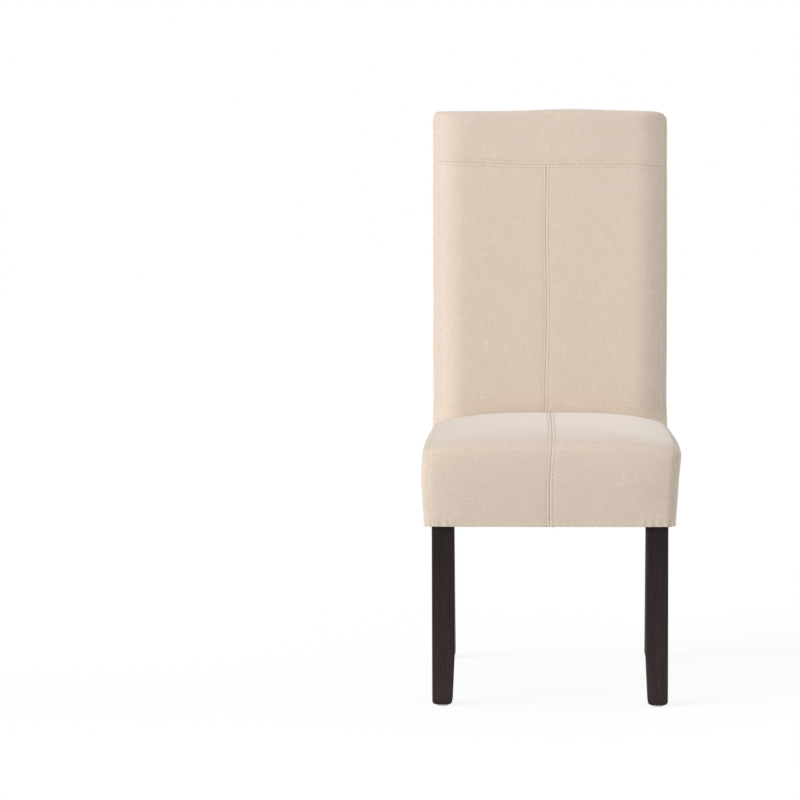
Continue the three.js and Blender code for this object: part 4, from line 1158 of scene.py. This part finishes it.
def sew(bm, panel, start, end, path):
    """Adds a row of stitches between two straight places; path says where along it a place is."""
    line = np.linspace(start, end, 400)
    run = path(line)
    if run[0] > run[-1]:
        line, run = line[::-1], run[::-1]
    made = 0
    for middle in np.arange(math.ceil(run[0] / STITCH) + 0.5, run[-1] / STITCH) * STITCH:
        spots = (middle - HALF_SHOWN, middle + HALF_SHOWN)
        ends = [[float(np.interp(spot, run, axis)) for axis in line.T] for spot in spots]
        found = [on_panel(panel, end) for end in ends]
        if None in found:
            continue
        (a, normal), (b, _) = found
        if (b - a).length < HALF_SHOWN * MM:
            continue
        along = (b - a).normalized()
        across = along.cross(normal).normalized()
        up = across.cross(along)
        axes = [way * size * MM for way, size in zip((along, across, up), STITCH_SIZE)]
        shape = Matrix(axes).transposed()
        place = Matrix.Translation((a + b) / 2 + up * 0.12 * MM) @ shape.to_4x4()
        place = place @ Matrix.Rotation(math.pi / 2, 4, "Y")
        bmesh.ops.create_uvsphere(bm, u_segments=6, v_segments=5, radius=1, matrix=place)
        made += 1
    return made


def add_stitching(name, rows):
    whole = bmesh.new()
    mesh = bpy.data.meshes.new(name)
    made = 0
    for row in rows:  # one row at a time, because operators slow down in a large bmesh
        bm = bmesh.new()
        made += sew(bm, *row)
        bm.to_mesh(mesh)
        bm.free()
        whole.from_mesh(mesh)
    for face in whole.faces:
        face.smooth = True
    whole.to_mesh(mesh)
    whole.free()
    add_piece(name, mesh, thread)
    print(name, made, "stitches")


def along_seat(p):
    return unroll(p[:, 1], seat_lines[1], SEAT_ROLL) - unroll(p[:, 2], seat_lines[2], SEAT_ROLL)


along_x, along_y, along_z = [lambda p, axis=axis: p[:, axis] for axis in range(3)]
back_rows = []
for side, sign in SIDES:
    panel, boxing = f"back_front_panel_{side}", f"back_boxing_{side}"
    inner, outer = sign * (BACK_SEAM - 4.4), sign * (BACK_SEAM + 5.3)
    below, edge = CROSS_SEAM + CROSS_ROWS[0], sign * (BACK_SEAM - 1)
    middle = BACK_ROWS[sign > 0]
    back_rows += [
        (panel, (0, 0, below), (edge, 0, below), along_x),
        (panel, (middle, 0, CROSS_SEAM - 1), (middle, 0, ROW_END), along_z),
        (panel, (inner, 0, CROSS_SEAM - 1), (inner, 0, ROW_END), along_z),
        (boxing, (outer, 0, BACK_TOP), (outer, 0, ROW_END), along_z),
        (boxing, (outer, 0, BACK_TOP), (outer, BACK_THICK, BACK_TOP), along_y),
        ("back_band", (inner, 0, CROSS_SEAM + 1), (inner, 0, BACK_TOP), along_z),
        ("back_band", (inner, 0, BACK_TOP), (inner, REAR_SEAM, BACK_TOP), along_y),
        ("back_rear_panel", (inner, BACK_THICK, BACK_TOP - 3), (inner, BACK_THICK, HEM + 3), along_z),
    ]
edge, behind, above = BACK_SEAM - 1, REAR_SEAM - 4.6, CROSS_SEAM + CROSS_ROWS[1]
back_rows += [
    ("back_band", (-edge, 0, above), (edge, 0, above), along_x),
    ("back_band", (-edge, behind, BACK_TOP), (edge, behind, BACK_TOP), along_x),
]
add_stitching("back_topstitching", back_rows)
seat_rows = []
for side, sign in SIDES:
    for panel, across in (
        (f"seat_panel_{side}", SEAT_ROWS[sign > 0]),
        (f"seat_panel_{side}", sign * (SEAT_SEAM - 5.0)),
        (f"seat_boxing_{side}", sign * (SEAT_SEAM + 6.6)),
    ):
        corner = (across, 0, SEAT_EDGE)
        seat_rows.append((panel, (across, 0, HEM + 3), corner, along_seat))
        seat_rows.append((panel, corner, (across, 416, SEAT_EDGE), along_seat))
add_stitching("seat_topstitching", seat_rows)

# %% [markdown]
# ## Legs
#
# The front legs are square and stand straight. The rear legs are the lower ends of the back posts
# and are splayed. Their edges were eased with sandpaper, and the foot is rounded so that it won't
# splinter. Each leg starts as a merged copy of its solid. It is cut by a few planes, so that there
# are points where the foot curves, beside the edges, where the finish wears through, and up the
# leg, where a painted shade makes the wood darker under the seat and paler towards the foot.

# %% Cutting and rounding the legs
FOOT = 3.0  # mm, underside of the wood above the floor
FOOT_ROUND = 8.0


def finish_leg(name, node, bm, middle_at, near_edge):
    """Rounds the foot about middle_at(z), marks edge wear and a painted shade that pales towards the foot,
    and adds the piece.
    """
    for height in (0.6, 1.8, 3.4, 5.2, 7.0):
        slice_mesh(bm, (0, 0, (FOOT + height) * MM), (0, 0, 1))
    for height in range(30, 310, 28):
        slice_mesh(bm, (0, 0, height * MM), (0, 0, 1))
    wear_and_painted_shade = bm.verts.layers.float.new("edge")
    for v in bm.verts:
        # painted shade: the pale edge colour grows towards the foot, so the leg is darker under the seat
        # and paler near the floor; near_edge is real edge wear
        lower = max(0.0, 1 - v.co.z / MM / HEM)
        v[wear_and_painted_shade] = max(0.35 * near_edge(v.co / MM), 0.7 * lower**1.2)
        over_foot = max(0.0, 1 - (v.co.z / MM - FOOT) / FOOT_ROUND)
        if over_foot > 0:
            middle = middle_at(v.co.z / MM) * MM
            away = v.co - middle
            pull = 3.4 * MM * over_foot**2.2
            for axis in (0, 1):
                v.co[axis] -= math.copysign(min(pull, abs(away[axis])), away[axis])
            v[wear_and_painted_shade] = max(v[wear_and_painted_shade], 0.8 * over_foot)
    bm.normal_update()
    sharpen_over(bm, 32)
    add_piece(name, mesh_of(bm, name), espresso, [node])


POST_FOOT, POST_HEM = (103.0, 137.0), (32.5, 69.8)  # front and rear face, mm behind the seat's depth


def edge_share(from_one, from_other):
    """1 within 1.5 mm of a vertical edge and 0 from 4.5 mm, for distances in mm from its two faces."""
    return max(0.0, min(1.0, 1.5 - max(from_one, from_other) / 3))


for side, sign in SIDES:
    node = f"front_leg_{side}"
    low, high = [Vector(corner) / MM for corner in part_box(node)]
    middle = (low + high) / 2
    leg = merged_copy(node)
    for offset in (-14.5, 14.5):
        slice_mesh(leg, Vector((middle.x + offset, 0, 0)) * MM, (1, 0, 0))
        slice_mesh(leg, Vector((0, middle.y + offset, 0)) * MM, (0, 1, 0))

    def at_edge(p):
        taper = 4.0 * max(0.0, 1 - (p.z - FOOT) / 86)
        inner_x = low.x + taper if sign > 0 else high.x - taper
        outer_x = high.x if sign > 0 else low.x
        from_x = min(abs(p.x - inner_x), abs(p.x - outer_x))
        from_y = min(abs(p.y - low.y), abs(p.y - high.y + taper))
        return edge_share(from_x, from_y)

    finish_leg(f"front_leg_wood_{side}", node, leg, lambda z: Vector((middle.x, middle.y, z)), at_edge)

    node = f"rear_post_{side}"
    low, high = [Vector(corner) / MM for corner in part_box(node)]
    post = merged_copy(node)
    foot_front, foot_rear = [Vector((0, SEAT_DEPTH + behind + FRONT, FOOT)) for behind in POST_FOOT]
    hem_front, hem_rear = [Vector((0, SEAT_DEPTH + behind + FRONT, HEM)) for behind in POST_HEM]
    across = (low.x + high.x) / 2
    for offset in (-10, 10):
        slice_mesh(post, Vector((across + offset, 0, 0)) * MM, (1, 0, 0))
    for foot, hem, way in ((foot_front, hem_front, 4), (foot_rear, hem_rear, -4)):
        slope = hem - foot
        slice_mesh(post, (foot + Vector((0, way, 0))) * MM, (0, slope.z, -slope.y))

    def at_post_edge(p):
        share = (p.z - FOOT) / (HEM - FOOT)
        front_y, rear_y = foot_front.lerp(hem_front, share).y, foot_rear.lerp(hem_rear, share).y
        from_y = min(abs(p.y - front_y), abs(p.y - rear_y))
        return edge_share(min(abs(p.x - low.x), abs(p.x - high.x)), from_y) if p.z < HEM else 0.0

    finish_leg(
        f"rear_leg_wood_{side}", node, post, lambda z: Vector((across, foot_front.y + 17, z)), at_post_edge
    )
print("legs made")

# %% [markdown]
# ## Glides
#
# Under each foot is a white nylon disc on a nail, so the chair slides without scratching. A disc is
# turned, so half its outline is drawn as a few points and spun round the middle.

# %% Moulded nylon
nylon = patterned_material(
    "moulded_white_nylon",
    "TexNoise",
    {"Scale": 1 / (0.8 * MM), "Detail": 3.0},
    0,
    [(0.35, "#d8d3c8"), (0.7, "#e9e6df")],
    (0.2, 0.08),
    {"Roughness": 0.45, "IOR": 1.53},
)

# %% Spun glides
GLIDE_OUTLINE = [  # radius and height in mm, from the middle of the underside to the nail's tip
    (0, 0), (8.6, 0), (9.9, 0.25), (10.7, 0.8), (11, 1.5), (10.8, 2.3), (10.2, 2.7),
    (1.5, 2.7), (1.5, 12.5), (0, 16.0),
]
for end in ("front", "rear"):
    for side, sign in SIDES:
        node = f"glide_{end}_{side}"
        low, high = [Vector(corner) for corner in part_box(node)]
        middle = (low + high) / 2
        bm = bmesh.new()
        ring = [bm.verts.new((middle.x + r * MM, middle.y, z * MM)) for r, z in GLIDE_OUTLINE]
        edges = [bm.edges.new(pair) for pair in zip(ring, ring[1:])]
        bmesh.ops.spin(
            bm,
            geom=ring + edges,
            cent=(middle.x, middle.y, 0),
            axis=(0, 0, 1),
            angle=2 * math.pi,
            steps=40,
            use_merge=True,
        )
        bmesh.ops.remove_doubles(bm, verts=bm.verts, dist=1e-5)
        bmesh.ops.recalc_face_normals(bm, faces=bm.faces)
        sharpen_over(bm, 40)
        add_piece(f"{node}_disc", mesh_of(bm, f"{node}_disc"), nylon, [node])
print("glides made")

# %% [markdown]
# ## Foam and wadding
#
# Under the cloth lie a foam slab in the seat and one in the back, thin pads round the frame, and
# polyester wadding behind the back. Nobody sees them, but they hold the cover up. They are merged
# copies of their solids. Where a pad comes too close to the cover, it is pressed in a little, so
# that the seams have room.

# %% Foam material
def foam_material(name, pale, dark, cell):
    """cell: size in mm of the foam's cells."""
    return patterned_material(
        name,
        "TexVoronoi",
        {"Scale": 1 / (cell * MM), "feature": "SMOOTH_F1", "Smoothness": 0.4},
        "Distance",
        [(0.15, dark), (0.6, pale)],
        (0.6, 0.4),
        {"Roughness": 0.95, "Sheen Weight": 0.1, "Specular IOR Level": 0.2},
    )


foam = foam_material("cut_polyurethane_foam", "#e6dba6", "#cdbd80", 1.4)
wadding = foam_material("bonded_polyester_wadding", "#efeeea", "#dcdad3", 2.6)

# %% Foam pieces
UNDER_COVER = CLOTH + 2.4  # mm from the cover's face down to the foam
FOAM_STEP = 14.0  # mm, no edge of a foam piece is longer, so it can follow the cover
PAD_END = 398.0  # mm, depth where the seat's side pads end


def tree_of(mesh):
    return BVHTree.FromPolygons([v.co for v in mesh.vertices], [f.vertices[:] for f in mesh.polygons])


def pressed_in(place, tree):
    """The place, moved in under the cover if it is too close to it or outside it."""
    for _ in range(8):
        found, normal, _, _ = tree.find_nearest(place, 30 * MM)
        if found is None:
            return place
        depth = (found - place).dot(normal) / MM
        if depth >= UNDER_COVER:
            return place
        place = place - normal * (UNDER_COVER - depth) * MM
    return place


forms = {"seat": tree_of(seat_form), "back": tree_of(back_form)}
PADDING = {  # the solids and the pieces that replace them
    "seat_foam": "seat_foam_slab",
    "seat_front_pad": "seat_front_padding",
    "seat_side_pad_left": "seat_side_padding_left",
    "seat_side_pad_right": "seat_side_padding_right",
    "back_foam": "back_foam_slab",
    "back_top_pad": "back_top_padding",
    "back_side_pad_left": "back_side_padding_left",
    "back_side_pad_right": "back_side_padding_right",
    "back_wadding": "back_rear_wadding",
}
for node, name in PADDING.items():
    bm = merged_copy(node)
    if node.startswith("seat_side_pad"):  # its thin end would reach in beside the back
        rim = slice_mesh(bm, (0, (PAD_END + FRONT) * MM, 0), (0, 1, 0), clear_outer=True)
        bmesh.ops.edgeloop_fill(bm, edges=rim)
    for _ in range(5):
        bmesh.ops.triangulate(bm, faces=bm.faces[:])
        long_edges = [e for e in bm.edges if e.calc_length() > FOAM_STEP * MM]
        bmesh.ops.subdivide_edges(bm, edges=long_edges, cuts=1)
    pressed = 0.0
    for v in bm.verts:
        place = pressed_in(v.co, forms[name.split("_")[0]])
        if name.startswith("seat"):
            free = back_front_at(place.x / MM, place.z / MM) + FRONT - UNDER_COVER
            place = Vector((place.x, min(place.y, float(free) * MM), place.z))
        pressed = max(pressed, (place - v.co).length / MM)
        v.co = place
    print(name, "pressed in by up to", round(pressed, 1), "mm")
    sharpen_over(bm, 35)
    pad = add_piece(name, mesh_of(bm, name), wadding if "wadding" in name else foam, [node])

# %% [markdown]
# ## Webbing, frame and dust cover
#
# The foam lies on woven straps that are tacked to the rails. The frame's rails and corner blocks
# keep the shapes of the solids and get a planed wood finish, and the screws a zinc plating. Below,
# a black nonwoven sheet keeps dust in. It is cut from its solid's underside, divided by a grid of
# planes, and sags a little between the rails.

# %% Webbing material
def webbing_material(name, pale, dark, stripe, rib):
    """rib: mm between the ribs that run across the strap."""
    material, add = new_material(name)
    in_mm = object_mm(add)
    apart = add("SeparateXYZ", {0: in_mm})
    along = add("Math", {"operation": "ADD", 0: apart.outputs["Y"], 1: apart.outputs["Z"]})
    weave = add("Math", {
        "operation": "MULTIPLY", 0: ridges(add, apart.outputs["X"], rib), 1: ridges(add, along, rib),
    })
    fuzz = add("TexNoise", {"Scale": 0.5, "Detail": 4.0, "Vector": in_mm})
    both = add("Math", {"operation": "MULTIPLY", 0: weave, 1: fuzz})
    shades = [(0.0, dark), (0.6, pale), (0.3, stripe)]
    ramp = add("ValToRGB", {0: both}, stops=shades)
    bump = add("Bump", {"Strength": 0.7, "Distance": 0.4 * MM, "Height": both})
    shader = add("BsdfPrincipled", {
        "Roughness": 0.85, "Sheen Weight": 0.15, "Base Color": ramp, "Normal": bump,
    })
    return finished(material, shader)


jute = webbing_material("woven_jute_webbing", "#b08d63", "#5f452c", "#8a6a48", 2.2)
for node in [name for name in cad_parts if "_webbing_" in name]:
    strap = merged_copy(node)
    sharpen_over(strap, 35)
    add_piece(f"{node}_strap", mesh_of(strap, f"{node}_strap"), jute, [node])


# %% Frame and screws
def plated_material(name, colour, shade, roughness):
    material, add = new_material(name)
    place = add("TexCoord")
    spangle = add("TexNoise", {"Scale": 1 / (1.1 * MM), "Detail": 3.0, "Vector": place.outputs["Object"]})
    shades = [(0.3, shade), (0.7, colour)]
    ramp = add("ValToRGB", {0: spangle}, stops=shades)
    rough = add("MapRange", {"To Min": roughness - 0.08, "To Max": roughness + 0.1, "Value": spangle})
    shader = add("BsdfPrincipled", {"Metallic": 1.0, "Base Color": ramp, "Roughness": rough})
    return finished(material, shader)


zinc = plated_material("yellow_zinc_plated_steel", "#c9bd93", "#a89a6c", 0.38)
kept = {"_rail": bare_wood, "corner_block": bare_wood, "block_screw": zinc}
for node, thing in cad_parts.items():
    for part, material in kept.items():
        if part in node:
            for material_slot in thing.material_slots:
                material_slot.material = material
            print(node, "keeps its solid:", material.name)

# %% Dust cover
DUST_CELL = 14 * MM
nonwoven = foam_material("black_spunbond_nonwoven", "#232325", "#141416", 1.8)
bm = merged_copy("dust_cover")
bm.normal_update()
upper = [face for face in bm.faces if face.normal.z > -0.9]
bmesh.ops.delete(bm, geom=upper, context="FACES")
low, high = [Vector(corner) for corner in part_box("dust_cover")]
for axis, normal in enumerate((Vector((1, 0, 0)), Vector((0, 1, 0)))):
    for place in np.arange(low[axis] + DUST_CELL, high[axis], DUST_CELL):
        slice_mesh(bm, normal * float(place), normal)
for v in bm.verts:
    x, y = v.co.x / MM, v.co.y / MM
    middle = max(0.0, 1 - (x / 170) ** 2) * max(0.0, 1 - ((y + 45) / 190) ** 2)
    crease = noise.noise(Vector((x / 45, y / 45, 3.1))) + 0.4 * math.sin(x / 23 + y / 60)
    v.co.z -= (2.2 * middle + 0.5 * crease * min(1.0, 4 * middle)) * MM
    v.co.z += 0.2 * MM
bmesh.ops.dissolve_degenerate(bm, edges=bm.edges, dist=1e-6)
mesh = mesh_of(bm, "dust_cover_sheet")
dust_sheet = add_piece("dust_cover_sheet", mesh, nonwoven, ["dust_cover"])
thicken(dust_sheet, 0.5)
print("dust cover made")
